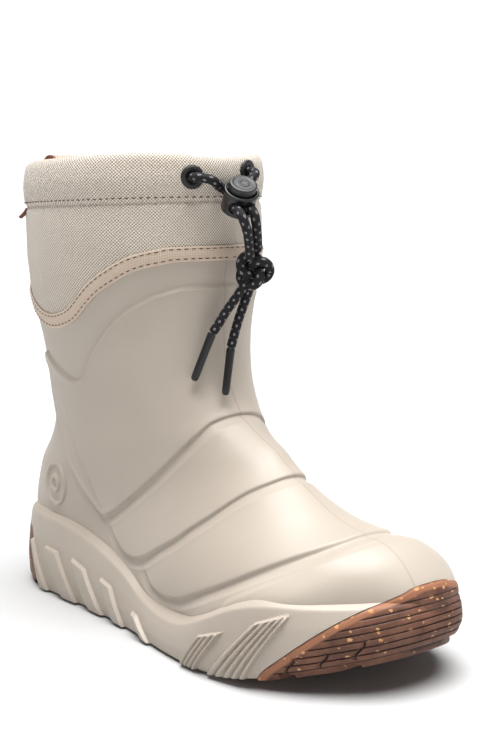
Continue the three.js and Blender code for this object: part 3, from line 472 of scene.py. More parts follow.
def refine(surface, points, faces, size):
    """Splits edges of a parametric mesh until none is longer than size at its middle."""
    for _ in range(REFINE_ROUNDS):
        placed = surface(points)
        count = len(points)
        ends = np.concatenate([faces[:, [0, 1]], faces[:, [1, 2]], faces[:, [2, 0]]])
        ends.sort(axis=1)
        keys, inverse = np.unique(ends[:, 0].astype(np.int64) * count + ends[:, 1], return_inverse=True)
        first, second = keys // count, keys % count
        a, b = placed[first], placed[second]
        long = np.linalg.norm(a - b, axis=1) > size((a + b) / 2)
        if not long.any():
            break
        middle = np.full(len(keys), -1)
        middle[long] = count + np.arange(long.sum())
        points = np.concatenate([points, (points[first[long]] + points[second[long]]) / 2])
        mids = middle[inverse].reshape(3, -1).T
        marked = (mids >= 0).sum(axis=1)
        done = [faces[marked == 0]]
        for number in (1, 2, 3):
            chosen = marked == number
            f, m = faces[chosen], mids[chosen]
            if number < 3:
                # turns each face so that its only marked edge, or its only unmarked one, comes first or last
                turn = np.argmax(m >= 0, axis=1) if number == 1 else (np.argmin(m >= 0, axis=1) + 1) % 3
                order = (np.arange(3) + turn[:, None]) % 3
                f = np.take_along_axis(f, order, 1)
                m = np.take_along_axis(m, order, 1)
            p, q, r = f.T
            pq, qr, rp = m.T
            if number == 1:
                parts = [(p, pq, r), (pq, q, r)]
            elif number == 2:
                parts = [(pq, q, qr), (p, pq, qr), (p, qr, r)]
            else:
                parts = [(p, pq, rp), (pq, q, qr), (rp, qr, r), (pq, qr, rp)]
            done += [np.stack(part, axis=1) for part in parts]
        faces = np.concatenate(done)
    return points, faces


def run_along(points):
    """Length along a line up to each of its points."""
    return np.concatenate([[0], np.cumsum(np.linalg.norm(np.diff(points, axis=0), axis=1))])


def circle(count, side, up):
    turn = 2 * math.pi * np.arange(count) / count
    return np.cos(turn)[:, None] * side + np.sin(turn)[:, None] * up


def bands(rings, sides, caps=True):
    """Quads between rings of points, and a face over each end."""
    faces = [
        [i * sides + j, i * sides + (j + 1) % sides, (i + 1) * sides + (j + 1) % sides, (i + 1) * sides + j]
        for i in range(rings - 1)
        for j in range(sides)
    ]
    count = rings * sides
    return faces + [list(range(sides)), list(range(count - 1, count - sides - 1, -1))] * caps


def even(size):
    return lambda p: np.full(len(p), size)


def grid(rows, columns):
    """Triangles over a grid of points, row by row."""
    i, j = np.meshgrid(np.arange(rows - 1), np.arange(columns - 1), indexing="ij")
    a = (i * columns + j).ravel()
    b, c, d = a + 1, a + columns, a + columns + 1
    return np.concatenate([np.stack([a, c, b], 1), np.stack([b, c, d], 1)])


def new_object(name, points, faces, to_metres=True):
    """Object from points (x, u, z) in millimetres, or from points in metres in the row frame."""
    points = np.asarray(points, float)
    if to_metres:
        points = np.stack([points[:, 0], HEEL_SETBACK - points[:, 1], points[:, 2]], -1) * MM
    mesh = bpy.data.meshes.new(name)
    mesh.from_pydata(points.tolist(), [], faces.tolist() if isinstance(faces, np.ndarray) else faces)
    thing = bpy.data.objects.new(name, mesh)
    bpy.context.scene.collection.objects.link(thing)
    return thing


def mend(thing, weld=WELD):
    """Joins doubled points and turns the faces outwards."""
    b = bmesh.new()
    b.from_mesh(thing.data)
    bmesh.ops.remove_doubles(b, verts=b.verts, dist=weld)
    bmesh.ops.dissolve_degenerate(b, edges=b.edges, dist=FLAT_EDGE)
    bmesh.ops.recalc_face_normals(b, faces=b.faces)
    b.to_mesh(thing.data)
    b.free()
    return thing


def closed(name, points, faces, loops):
    """Closed object from an open mesh and fans over its boundary loops, given as lists of point numbers."""
    points = np.asarray(points, float)
    fans = []
    for loop in loops:
        centre = len(points)
        points = np.concatenate([points, points[loop].mean(axis=0, keepdims=True)])
        fans += [[centre, a, b] for a, b in zip(loop, loop[1:] + loop[:1])]
    return mend(new_object(name, points, np.concatenate([faces, np.array(fans)])))


def cut(body, *tools, operation="DIFFERENCE"):
    """Applies a boolean of a body with each tool, and removes the tools."""
    for tool in tools:
        modifier = body.modifiers.new("cut", "BOOLEAN")
        modifier.solver = "MANIFOLD"
        modifier.operation = operation
        modifier.object = tool
        made = body.evaluated_get(bpy.context.evaluated_depsgraph_get())
        mesh = bpy.data.meshes.new_from_object(made)
        old = body.data
        body.modifiers.clear()
        body.data = mesh
        bpy.data.meshes.remove(old)
        if not mesh.polygons:
            raise RuntimeError(f"{body.name}: nothing is left after {tool.name}")
        bpy.data.meshes.remove(tool.data)
    return body


def prism(name, line):
    """Closed solid, wider than the boot, over a side-view outline (u, z)."""
    line = np.asarray(line, float)
    count = len(line)
    points = np.concatenate([np.column_stack([np.full(count, x), line]) for x in (-BALL_WIDTH, BALL_WIDTH)])
    return mend(new_object(name, points, bands(2, count)))


def periodic_patch(surface, places, columns, size):
    """Refined mesh of a surface over places and a full turn."""
    angles = np.linspace(0, 2 * math.pi, columns + 1)
    points = np.array([[s, a] for s in places for a in angles])
    return refine(surface, points, grid(len(places), columns + 1), size)


def tube_form(name, surface, places, columns, size):
    """Closed object of a periodic surface, with a fan over each end."""
    points, faces = periodic_patch(surface, places, columns, size)
    placed = surface(points)
    turn = points[:, 1]
    loops = []
    for end in (places[0], places[-1]):
        on = np.flatnonzero((np.abs(points[:, 0] - end) < 1e-9) & (turn < 2 * math.pi - 1e-9))
        loops.append(on[np.argsort(turn[on])].tolist())
    # the last column is the first one again
    first = {round(points[i, 0], 7): i for i in np.flatnonzero(turn < 1e-9)}
    same = np.arange(len(points))
    for i in np.flatnonzero(turn > 2 * math.pi - 1e-9):
        same[i] = first[round(points[i, 0], 7)]
    return closed(name, placed, same[faces], loops)


def below_corner(u):
    return [u * LENGTH, -HEIGHT]


def above_corner(u):
    return [u * LENGTH, 2 * HEIGHT]


def base_form(height, corner):
    """Solid under or over the sole's base line, as the corners say, moved up by a height."""
    u = np.linspace(0.6, 1.1, 40) * LENGTH
    line = np.column_stack([u, spring(np.minimum(u, LENGTH)) + height])
    return prism("base_form", [[-0.1 * LENGTH, height], *line, corner(1.1), corner(-0.1)])


def room(inset, bed_lift, end=17):
    """The foot's room as a closed form."""

    def surface(p):
        extra = TOE_WALL_EXTRA * smooth(p[:, 0], 14.5, 16.5)
        return skin(p[:, 0], p[:, 1], -inset - extra, bed_lift)

    return tube_form("room", surface, np.linspace(ROOM_TOP, end, 40), ROOM_COLUMNS, even(6.0))


# ---- materials ----


def srgb(r, g, b):
    """Linear colour of an sRGB colour from 0 to 255."""
    values = [c / 255 for c in (r, g, b)]
    return tuple(c / 12.92 if c <= 0.04045 else ((c + 0.055) / 1.055) ** 2.4 for c in values) + (1.0,)


class Nodes:
    """Short calls for the nodes of a tree."""

    def __init__(self, tree):
        self.tree = tree

    def feed(self, socket, value):
        if isinstance(value, bpy.types.NodeSocket):
            self.tree.links.new(value, socket)
        else:
            socket.default_value = value

    def node(self, kind, inputs=None, **properties):
        made = self.tree.nodes.new("ShaderNode" + kind)
        for key, value in properties.items():
            setattr(made, key, value)
        for key, value in (inputs or {}).items():
            self.feed(made.inputs[key], value)
        return made

    def math(self, operation, *values):
        return self.node("Math", dict(enumerate(values)), operation=operation).outputs[0]

    def plus(self, a, b):
        return self.math("ADD", a, b)

    def times(self, a, b):
        return self.math("MULTIPLY", a, b)

    def ramp(self, value, low, high, to_low=0.0, to_high=1.0, **properties):
        inputs = {"Value": value, "From Min": low, "From Max": high, "To Min": to_low, "To Max": to_high}
        return self.node("MapRange", inputs, **properties).outputs[0]


class Finish(Nodes):
    """A material with a principled shader."""

    def __init__(self, name, **settings):
        self.material = bpy.data.materials.new(name)
        self.material.use_nodes = True
        super().__init__(self.material.node_tree)
        self.shader = self.tree.nodes["Principled BSDF"]
        self.coordinates = self.tree.nodes.new("ShaderNodeTexCoord")
        for socket, value in settings.items():
            self.shader.inputs[socket.replace("_", " ")].default_value = value

    def place(self, scale=(1, 1, 1)):
        source = self.coordinates.outputs["Object"]
        return self.node("Mapping", {"Vector": source, "Scale": scale}).outputs[0]

    def noise(self, scale, detail=3, rough=0.55, vector=None):
        inputs = {"Vector": vector or self.place(), "Scale": scale, "Detail": detail, "Roughness": rough}
        return self.node("TexNoise", inputs).outputs["Fac"]

    def cloud(self, scale, detail, low=0.0, high=1.0):
        return self.ramp(self.noise(scale, detail), 0.3, 0.7, low, high)

    def mix(self, factor, a, b):
        return self.node("Mix", {0: factor, 6: a, 7: b}, data_type="RGBA").outputs[2]

    def split(self, vector):
        return self.node("SeparateXYZ", {"Vector": vector}).outputs

    def set(self, socket, value):
        self.tree.links.new(value, self.shader.inputs[socket])
        return self

    def bump(self, height, strength, distance, normal=None):
        inputs = {"Height": height, "Strength": strength, "Distance": distance}
        if normal is not None:
            inputs["Normal"] = normal
        return self.node("Bump", inputs).outputs[0]


RELIEF = "relief"  # groove depth of the rubber in millimetres; below nought on the edge band


def make_foam():
    f = Finish("foam", Roughness=0.46, Specular_IOR_Level=0.38, Coat_Weight=0.04, Coat_Roughness=0.3)
    cream = f.mix(f.cloud(14, 2), srgb(167, 156, 144), srgb(174, 164, 152))
    f.set("Roughness", f.cloud(60, 4, 0.42, 0.52))
    place = f.split(f.coordinates.outputs["Object"])
    wander = f.times(f.math("SUBTRACT", f.noise(30, 1), 0.5), 0.0012)
    off = f.math("ABSOLUTE", f.plus(place[0], wander))
    parting = f.times(f.ramp(off, 0.0007, 0.0001), f.ramp(place[1], -0.09, -0.10))
    f.set("Base Color", f.mix(f.times(parting, 0.3), cream, srgb(128, 104, 92)))
    grain = f.bump(f.plus(f.noise(1900, 3), f.times(parting, 3.0)), 0.10, 0.0002)
    f.set("Normal", f.bump(f.noise(160, 2), 0.06, 0.0008, grain))
    return f.material


def make_gum():
    """Brown rubber with pale flecks; its grooves get a painted shade that darkens with their depth, and its
    upper edge is lighter.
    """
    f = Finish("gum_rubber", Roughness=0.58, Specular_IOR_Level=0.35)
    relief = f.node("Attribute", attribute_name=RELIEF).outputs["Fac"]
    streaks = f.place((1, 1, 1.5))
    cells = f.node("TexVoronoi", {"Vector": streaks, "Scale": 300.0, "Randomness": 1.0})
    pick = f.node("SeparateColor", {"Color": cells.outputs["Color"]}).outputs[0]
    chosen = f.math("GREATER_THAN", pick, f.ramp(relief, -1, 0, 0.58, 0.74))
    ragged = f.plus(cells.outputs["Distance"], f.cloud(900, 2, -0.12, 0.12))
    size = f.ramp(f.noise(160, 2), 0.35, 0.65, 0.14, 0.42)
    fleck = f.times(f.math("LESS_THAN", ragged, size), chosen)
    cloud = f.ramp(f.noise(110, 5), 0.3, 0.72)
    base = f.mix(cloud, srgb(80, 50, 38), srgb(118, 80, 62))
    base = f.mix(f.ramp(relief, 0, -1), base, srgb(146, 98, 72))
    speck = f.mix(f.noise(500, 2), srgb(232, 190, 136), srgb(190, 118, 62))
    colour = f.mix(f.times(fleck, 0.7), base, speck)
    # painted shade: the deeper the groove's relief, the darker the rubber's colour
    f.set("Base Color", f.mix(f.ramp(relief, 0.1, 0.5), colour, srgb(36, 16, 10)))
    f.set("Normal", f.bump(f.noise(1400, 3), 0.3, 0.0002))
    return f.material


def make_textile(name, light, dark, pitch, turn, strength):
    """Cloth of two crossing sets of yarns, in the surface's own coordinates in metres."""
    f = Finish(name, Roughness=0.9, Specular_IOR_Level=0.25, Sheen_Weight=0.25, Sheen_Roughness=0.5)
    uv = f.node("Mapping", {"Vector": f.coordinates.outputs["UV"], "Rotation": (0, 0, turn)}).outputs[0]
    wobble = f.noise(60, 2, vector=uv)
    along = f.split(uv)
    rate = 2 * math.pi / pitch
    warp, weft = (
        f.math("SINE", f.plus(f.times(way, rate), f.times(wobble, 1.6))) for way in (along[0], along[1])
    )
    height = f.ramp(f.times(warp, weft), -1, 1)
    yarn = f.noise(4200, 2)
    tone = f.plus(f.times(height, 0.8), f.times(yarn, 0.3))
    f.set("Base Color", f.mix(f.ramp(tone, 0.15, 0.8), dark, light))
    fine = f.bump(yarn, 0.25, 0.0002)
    f.set("Normal", f.bump(height, strength, 0.0004, fine))
    return f.material


def make_tape():
    f = Finish("tape", Roughness=0.8, Specular_IOR_Level=0.3, Sheen_Weight=0.2)
    uv = f.split(f.coordinates.outputs["UV"])
    rib = f.math("SINE", f.times(uv[0], 2 * math.pi / TAPE_RIB))
    cross = f.math("SINE", f.times(uv[1], 2 * math.pi / TAPE_WEFT))
    height = f.plus(f.times(rib, 0.7), f.times(cross, 0.3))
    f.set("Base Color", f.mix(f.ramp(height, -1, 1), srgb(172, 152, 134), srgb(214, 196, 178)))
    f.set("Normal", f.bump(f.ramp(height, -1, 1), 0.5, 0.0003))
    return f.material


CORD_FLECK_STEP = 4.4  # length of the cord's pattern
CORD_COLUMNS = 6


def make_cord():
    """Black braid with grey diamonds in columns, in coordinates of turns and metres along the cord."""
    f = Finish("cord", Roughness=0.78, Specular_IOR_Level=0.35)
    uv = f.split(f.coordinates.outputs["UV"])
    column = f.times(uv[0], float(CORD_COLUMNS))
    odd = f.times(f.math("MODULO", f.math("FLOOR", column), 2.0), 0.5)
    along = f.plus(f.times(uv[1], 1 / (CORD_FLECK_STEP * MM)), odd)
    x, y = (f.math("ABSOLUTE", f.math("SUBTRACT", f.math("FRACT", way), 0.5)) for way in (column, along))
    reach = f.plus(f.times(x, 2.6), f.times(y, 4.2))
    inside = f.ramp(reach, 0.85, 0.70)
    heart = f.ramp(reach, 0.22, 0.38)
    yarn = f.noise(3000, 2)
    grey = f.mix(heart, srgb(60, 58, 62), srgb(138, 135, 140))
    black = f.mix(yarn, srgb(8, 7, 9), srgb(24, 22, 26))
    f.set("Base Color", f.mix(f.times(inside, f.ramp(yarn, 0.3, 0.6, 0.6, 1.0)), black, grey))
    f.set("Normal", f.bump(yarn, 0.4, 0.0002))
    return f.material


def make_plastic(name, colour, rough, grain):
    f = Finish(name, Specular_IOR_Level=0.5)
    f.set("Base Color", f.mix(f.noise(40, 2), colour, tuple(c * 1.25 for c in colour[:3]) + (1.0,)))
    f.set("Roughness", f.cloud(220, 3, rough - 0.05, rough + 0.08))
    f.set("Normal", f.bump(f.noise(2600, 2), grain, 0.0001))
    return f.material


def make_leather():
    f = Finish("leather", Roughness=0.6, Specular_IOR_Level=0.35)
    cells = f.node("TexVoronoi", {"Vector": f.place(), "Scale": 1300.0}).outputs["Distance"]
    f.set("Base Color", f.mix(f.cloud(240, 3), srgb(84, 46, 32), srgb(128, 74, 52)))
    f.set("Normal", f.bump(cells, 0.35, 0.0003))
    return f.material


def make_floor():
    f = Finish("floor", Roughness=0.7, Specular_IOR_Level=0.2)
    f.set("Base Color", f.mix(f.noise(3, 1), srgb(187, 187, 187), srgb(190, 190, 190)))
    return f.material


FOAM = make_foam()
GUM = make_gum()
WEAVE = make_textile("weave", srgb(222, 211, 197), srgb(112, 102, 92), 0.0016, 0.0, 0.8)
LINING = make_textile("lining", srgb(170, 160, 148), srgb(140, 130, 118), 0.0009, 0.0, 0.5)
WEBBING = make_textile("webbing", srgb(198, 184, 166), srgb(150, 134, 116), 0.0012, 0.0, 0.8)
TAPE = make_tape()
CORD = make_cord()
THREAD = make_textile("thread", srgb(92, 66, 52), srgb(52, 36, 28), 0.0005, math.radians(35), 0.5)
PLASTIC = make_plastic("black_plastic", srgb(14, 14, 16), 0.34, 0.12)
BUTTON = make_plastic("button_plastic", srgb(22, 22, 24), 0.38, 0.15)
EYELET = make_plastic("eyelet_plastic", srgb(18, 18, 20), 0.5, 0.3)
SHRINK = make_plastic("aglet_plastic", srgb(10, 9, 11), 0.42, 0.12)
LEATHER = make_leather()


def dress(thing, angle, material, nodes=(), body=BODY):
    """Gives a finished piece its sharp edges over an angle, its material and body, and hides the given CAD
    nodes.
    """
    thing.data.shade_smooth()
    if angle:
        thing.data.set_sharp_from_angle(angle=math.radians(angle))
    thing.data.materials.clear()
    thing.data.materials.append(material)
    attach(thing, body)
    if nodes:
        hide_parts(*nodes)
    return thing


AROUND = 58  # radius that angles round the boot are unrolled with


def numbers(items, key, kind=int, width=1):
    made = np.empty(len(items) * width, kind)
    items.foreach_get(key, made)
    return made


def write_uv(mesh, uv, around=None):
    """Surface coordinates given for each point, unrolled over each face where they run round."""
    made = uv[numbers(mesh.loops, "vertex_index")]
    if around:
        base = np.repeat(made[numbers(mesh.polygons, "loop_start"), 0], numbers(mesh.polygons, "loop_total"))
        made[:, 0] -= np.round((made[:, 0] - base) / around) * around
    mesh.uv_layers.new(name="UVMap").data.foreach_set("uv", made.ravel())


def set_uv(thing, coordinates):
    """Surface coordinates from a function of points in millimetres (x, u, z)."""
    co = numbers(thing.data.vertices, "co", float, 3).reshape(-1, 3) / MM
    uv = coordinates(np.stack([co[:, 0], HEEL_SETBACK - co[:, 1], co[:, 2]], -1))
    write_uv(thing.data, uv, 2 * math.pi * AROUND * MM)


def wrapped(p):
    """Coordinates round the boot's shaft and up it, in metres."""
    angle = np.arctan2(p[:, 0] / 52, (p[:, 1] - 82) / 72)
    return np.stack([angle * AROUND, p[:, 2]], -1) * MM


# ---- cords ----


def spline(points, step):
    """Points (x, u, z) at even steps along the Catmull-Rom line through points."""
    points = np.asarray(points, float)
    fine = row(points, np.linspace(0, len(points) - 1, 60 * len(points)))
    run = run_along(fine)
    count = max(2, int(round(run[-1] / step)) + 1)
    places = np.linspace(0, run[-1], count)
    return np.stack([np.interp(places, run, fine[:, k]) for k in range(3)], -1), run[-1]


def frames(path):
    """Two directions across a path at each point, carried along it without twist."""
    along = unit(np.gradient(path, axis=0))
    side = [unit(np.cross(along[0], [0.3, 1, 0.2]))]
    for t in along[1:]:
        side.append(unit(side[-1] - t * (side[-1] @ t)))
    side = np.array(side)
    return side, np.cross(along, side)


BRAID_STRANDS = 8
BRAID_PITCH = 1.7
BRAID_DEPTH = 0.07
CORD_STEP = 0.42
CORD_SIDES = 32
CORD_ANGLE = 60


def braided(name, path, radius, round_ends=True):
    """Braided cord along a path (x, u, z) in millimetres."""
    side, up = frames(path)
    run = run_along(path)
    turn = 2 * math.pi * np.arange(CORD_SIDES + 1) / CORD_SIDES
    length, angle = np.meshgrid(run, turn, indexing="ij")
    phase = 2 * math.pi * length / BRAID_PITCH
    braid = np.cos(BRAID_STRANDS * angle + phase) * np.cos(BRAID_STRANDS * angle - phase)
    r = radius + BRAID_DEPTH * (braid - 0.4)
    for end in (run[0], run[-1]) if round_ends else ():
        near = np.clip(np.abs(length - end) / (0.55 * radius), 0, 1)
        r = r * np.sqrt(1 - (1 - near) ** 2 * 0.75)
    points = path[:, None, :] + r[..., None] * (
        np.cos(angle)[..., None] * side[:, None, :] + np.sin(angle)[..., None] * up[:, None, :]
    )
    faces = grid(len(path), CORD_SIDES + 1)
    flat = points.reshape(-1, 3)
    uv = np.stack([angle / (2 * math.pi), length * MM], -1).reshape(-1, 2)
    ends = []
    for at in (0, len(path) - 1):
        centre = len(flat)
        flat = np.concatenate([flat, path[at : at + 1]])
        uv = np.concatenate([uv, [[0.5, run[at] * MM]]])
        start = at * (CORD_SIDES + 1)
        ends += [[centre, start + k, start + k + 1] for k in range(CORD_SIDES)]
    faces = np.concatenate([faces, np.array(ends)])
    thing = new_object(name, flat, faces)
    write_uv(thing.data, uv)
    return mend(thing)


# Shares of a sleeve's length and of its radius
AGLET_SHAPE = [
    [-0.03, 0], [-0.03, 0.86], [0, 0.97], [0.05, 1], [0.08, 0.95], [0.5, 0.91], [0.9, 0.88], [0.955, 0.8],
    [0.985, 0.62], [1, 0.35], [1, 0],
]


def make_aglet(name, ends, nodes):
    start, end = np.asarray(ends, float)
    r = AGLET_DIAMETER / 2
    share, radius = np.array(AGLET_SHAPE).T
    path = start + (end - start) * share[:, None]
    side, up = frames(np.array([start, end]))
    ring = circle(AGLET_SIDES, side[0], up[0])
    rings = [p + r * k * ring for p, k in zip(path, radius)]
    thing = mend(new_object(name, np.concatenate(rings), bands(len(rings), AGLET_SIDES, False)))
    return dress(thing, 50, SHRINK, nodes)


def make_cords():
    radius = CORD_DIAMETER / 2
    turn = np.linspace(0, 4 * math.pi, 420)
    reach = KNOT_RADIUS * (2 + np.cos(1.5 * turn)) * 0.5
    loop = np.stack([reach * np.cos(turn), -KNOT_RADIUS * np.sin(1.5 * turn) * 0.5, reach * np.sin(turn)], -1)
    tilt = -math.radians(KNOT_TURN)
    x = loop[:, 0] * math.cos(tilt) - loop[:, 1] * math.sin(tilt)
    y = loop[:, 0] * math.sin(tilt) + loop[:, 1] * math.cos(tilt)
    path = np.stack([KNOT_CENTRE[0] + x, KNOT_CENTRE[1] - y, KNOT_CENTRE[2] + loop[:, 2]], -1)
    knot = braided("knot", path, KNOT_CORD_RADIUS, round_ends=False)
    dress(knot, CORD_ANGLE, CORD, ["drawcord_knot"])
    for name, points, pieces, node, end in (
        ("drawcord_outer", CORD_OUTER, [knot], "drawcord_outer", "knot"),
        ("drawcord_inner", CORD_INNER, [], "drawcord_inner", "object"),
        ("tail_outer", TAIL_OUTER, AGLET_OUTER, "tail_outer", "fitting"),
        ("tail_inner", TAIL_INNER, AGLET_INNER, "tail_inner", "fitting"),
    ):
        line, length = spline(points, CORD_STEP)
        thing = dress(braided("cord_" + name, line, radius), CORD_ANGLE, CORD, [node])
        if end == "fitting":
            label = name.replace("tail", "aglet")
            pieces = [make_aglet(label + "_shown", pieces, [label])]


# ---- foam lower ----


def panel_surface(p):
    s, a = p.T
    return nose(skin(s, a, panels(*skin(s, a).T)), s)


def panel_size(p):
    """Longest edge near a place: short where the surface turns sharply."""
    u, z = p[:, 1], p[:, 2]
    near = np.min([np.abs(beside(line, u, z)) for line in (shaft_line, instep_line, vamp_line)], axis=0)
    size = 0.95 + 0.2 * np.clip(near - 1.6, 0, 12)
    ridge = np.abs(near - 6.0)
    size = np.minimum(size, 1.1 + 0.5 * ridge)
    size = np.minimum(size, 1.1 + 0.5 * np.clip(np.abs(beside(toe_line, u, z)) - 1.5, 0, 12))
    beyond = np.clip(from_medallion(u, z) - MEDALLION_RADIUS - 1, 0, 12)
    size = np.where(p[:, 0] < 0, np.minimum(size, 0.8 + 0.5 * beyond), size)
    hidden = z < wall_top(u) - 6
    return np.where(hidden | (z > 0.82 * HEIGHT), 6.0, np.clip(size, 0.8, 3.3))


def rubber_zone(table, corners, gap):
    return prism("rubber_zone", [*side_line(table, 6, gap), *corners])


def toe_zone(gap):
    return rubber_zone(TOE_CAP_LINE, [below_corner(1.1), below_corner(0.8)], gap)


def heel_zone(gap):
    return rubber_zone(HEEL_CUP_LINE, [below_corner(0.1), below_corner(-0.1)], gap)


def make_foam_upper():
    places = [*np.arange(1.9, NOSE, 0.35), *(NOSE + np.array([0, 0.5, 0.8, 0.95, 0.99]))]
    body = tube_form("foam_upper", panel_surface, places, UPPER_COLUMNS, panel_size)
    seam = side_line(JOINT_LINE, 8, CLEARANCE / 2)
    over_joint = prism("over_joint", [*seam, above_corner(-0.1), above_corner(0.7)])
    deep = prism("deep", [
        *[[u, wall_top(u) - 12] for u in np.linspace(-0.1, 0.8, 30) * LENGTH],
        [1.1 * LENGTH, 20], below_corner(1.1), below_corner(-0.1),
    ])
    cut(body, over_joint, room(FOAM_WALL, 0), toe_zone(CLEARANCE), deep)
    return dress(body, 38, FOAM, ["foam_lower"])


outline_points = np.array(OUTLINE) * [LENGTH, BALL_WIDTH]


def outline_at(t):
    """Points (x, u) of the plan outline and the directions inwards, at shares of the way round."""
    table = np.concatenate([outline_points[-2:], outline_points, outline_points[:3]])
    where = np.mod(t, 1.0) * len(outline_points) + 2

    def at(s):
        u, x = row(table, s).T
        return np.stack([x, u], -1)

    point = at(where)
    along = unit(at(where + 0.02) - at(where - 0.02))
    inwards = np.stack([along[:, 1], -along[:, 0]], -1)
    return point, inwards


# Rows of the wall's rings at even, softened steps
RING_FINE = 12
ring_rows = np.linspace(0, len(WALL_RINGS) - 1, (len(WALL_RINGS) - 1) * RING_FINE + 1)
ring_table = np.stack(
    [np.interp(ring_rows, np.arange(len(WALL_RINGS)), [r[k] for r in WALL_RINGS]) for k in range(5)], -1
)
kernel = np.exp(-(np.arange(-6, 7) ** 2) / (2 * 2.2**2))
kernel /= kernel.sum()
soft_rings = np.stack(
    [np.convolve(np.pad(ring_table[:, k], 6, mode="edge"), kernel, mode="valid") for k in range(5)], -1
)


def lug_height(u, z):
    """Height of the side lugs over the wall, with the ribs of the forefoot ones."""
    height = np.zeros(np.shape(u))
    for corners, ribs in LUGS:
        quad = np.array(corners) * [LENGTH, HEIGHT]
        quad[:, 1] += spring(quad[:, 0])
        edges = []
        for a, b in zip(quad, np.roll(quad, -1, axis=0)):
            du, dz = (b - a) / np.linalg.norm(b - a)
            edges.append((u - a[0]) * dz - (z - a[1]) * du)
        top, ahead, _, behind = edges
        inside = np.minimum(top, np.minimum(ahead, behind))
        one = smooth(inside, 0, 0.9)
        if ribs:
            share = np.clip(behind / np.maximum(behind + ahead, 1e-6), 0, 1) * ribs
            groove = np.abs(share - np.round(share))
            between = (np.round(share) > 0) & (np.round(share) < ribs)
            width = np.maximum(behind + ahead, 1) / ribs
            cleft = 0.55 * (1 - smooth(groove * width, 0.15, 0.9)) * smooth(inside, 0.3, 1.6)
            one = one - np.where(between, cleft, 0)
        height = np.maximum(height, LUG_RISE * one)
    return height


def wall_surface(grow=0.0, relief=True):
    """Side wall over (ring row, turn)."""

    def surface(p):
        share, inset, toe_inset, rise, toe_rise = np.stack(
            [np.interp(p[:, 0], ring_rows, soft_rings[:, k]) for k in range(5)]
        )
        share = np.where(p[:, 0] < 0, 0, share)
        point, inwards = outline_at(p[:, 1] / (2 * math.pi))
        u = point[:, 1]
        toe = smooth(u / LENGTH, 0.8, 0.93)
        base = spring(u)
        z = base + share * (wall_top(u) - base) + rise * (1 + toe * (toe_rise - 1))
        z = z - np.maximum(-p[:, 0], 0) * WALL_DEPTH
        out = grow - inset - toe * toe_inset
        flat = point - inwards * out[:, None]
        if relief:
            below = smooth(p[:, 0], 3.9, 3.4)
            flat = flat - inwards * (lug_height(flat[:, 1], z) * below)[:, None]
        return np.stack([flat[:, 0], flat[:, 1], z], -1)

    return surface


def wall_size(p):
    u, z = p[:, 1], p[:, 2]
    size = np.full(len(p), 2.4)
    near_lug = (z - spring(u) > -1) & (lug_height(u, z) > 0)
    ring = (lug_height(u + 1.2, z) > 0) | (lug_height(u - 1.2, z) > 0) | (lug_height(u, z - 1.2) > 0)
    size = np.where(near_lug | ring, 0.9, size)
    size = np.where(np.abs(z - wall_top(u)) < 4, 1.3, size)
    return np.where(z < spring(u) - 1.5, 8.0, size)


def plate(grow, top):
    """Closed form of the outsole's plate, up to a height over its base."""
    point, inwards = outline_at(np.arange(PLATE_SIDES) / PLATE_SIDES)
    flat = point + inwards * (PLATE_INSET - grow)
    ends = (-WALL_DEPTH, 2 * WALL_DEPTH + TOE_SPRING)
    points = np.concatenate([np.column_stack([flat, np.full(PLATE_SIDES, z)]) for z in ends])
    body = mend(new_object("plate", points, bands(2, PLATE_SIDES)))
    return cut(body, base_form(top, above_corner))


def make_foam_wall():
    places = np.array([-1.0, *np.linspace(0, len(WALL_RINGS) - 1, 25)])
    body = tube_form("foam_wall", wall_surface(), places, WALL_COLUMNS, wall_size)
    cut(body, base_form(FOAM_LIFT, below_corner), plate(CLEARANCE, PLATE_TOP + CLEARANCE), room(FOAM_WALL, 0))
    cut(body, toe_zone(CLEARANCE), heel_zone(CLEARANCE))
    return dress(body, 40, FOAM, ["foam_lower"])


# ---- rubber ----

RIB_FIRST = 3.0  # height of the toe cap's lowest fine groove over the base
RIB_PITCH = 3.1
RIB_TOP_BAND = 3.4  # smooth band under the toe cap's upper edge
TOE_RUBBER_START = 0.6
SLITS = [(247.5, 13.4), (259.4, 17.0), (271.0, 22.4)]  # places of the three wavy slits


def rubber_grooves(u, z, rolled=0.5):
    """Depth of the toe cap's fine grooves and slits, and of its upper edge, which rolls over to the foam."""
    height = z - spring(u)
    number = np.round((height - RIB_FIRST) / RIB_PITCH)
    off = np.abs(height - RIB_FIRST - number * RIB_PITCH)
    inside = -beside(toe_cap_line, u, z)
    there = smooth(inside, RIB_TOP_BAND - 0.6, RIB_TOP_BAND + 0.2) * (number >= 0)
    depth = 0.55 * (1 - smooth(off, 0.1, 0.5)) * there
    for su, sz in SLITS:
        run = (z - sz) / 4.6
        middle = su + 1.1 * np.sin(2.6 * run) + 1.2 * run
        near = (1 - smooth(np.abs(u - middle), 0.3, 0.75)) * (1 - smooth(np.abs(run), 0.8, 1.05))
        depth = np.maximum(depth, 0.9 * near)
    return np.where(u > TOE_RUBBER_START * LENGTH, depth + rolled * (1 - smooth(inside, 0.1, 1.3)), 0)


def rubber_wall(p):
    q = wall_surface(0, relief=False)(p)
    depth = rubber_grooves(q[:, 1], q[:, 2])
    _, inwards = outline_at(p[:, 1] / (2 * math.pi))
    return q + np.column_stack([inwards * depth[:, None], np.zeros(len(p))])


def rubber_upper(p):
    s, a = p.T
    return nose(skin(s, a, -rubber_grooves(*skin(s, a).T[1:])), s)


def rubber_size(p):
    u, z = p[:, 1], p[:, 2]
    inside = beside(toe_cap_line, u, z) < 0.5
    fine = (u > 0.75 * LENGTH) & inside & (z > spring(u) - 0.5)
    return np.where(fine, 0.62, 8.0)


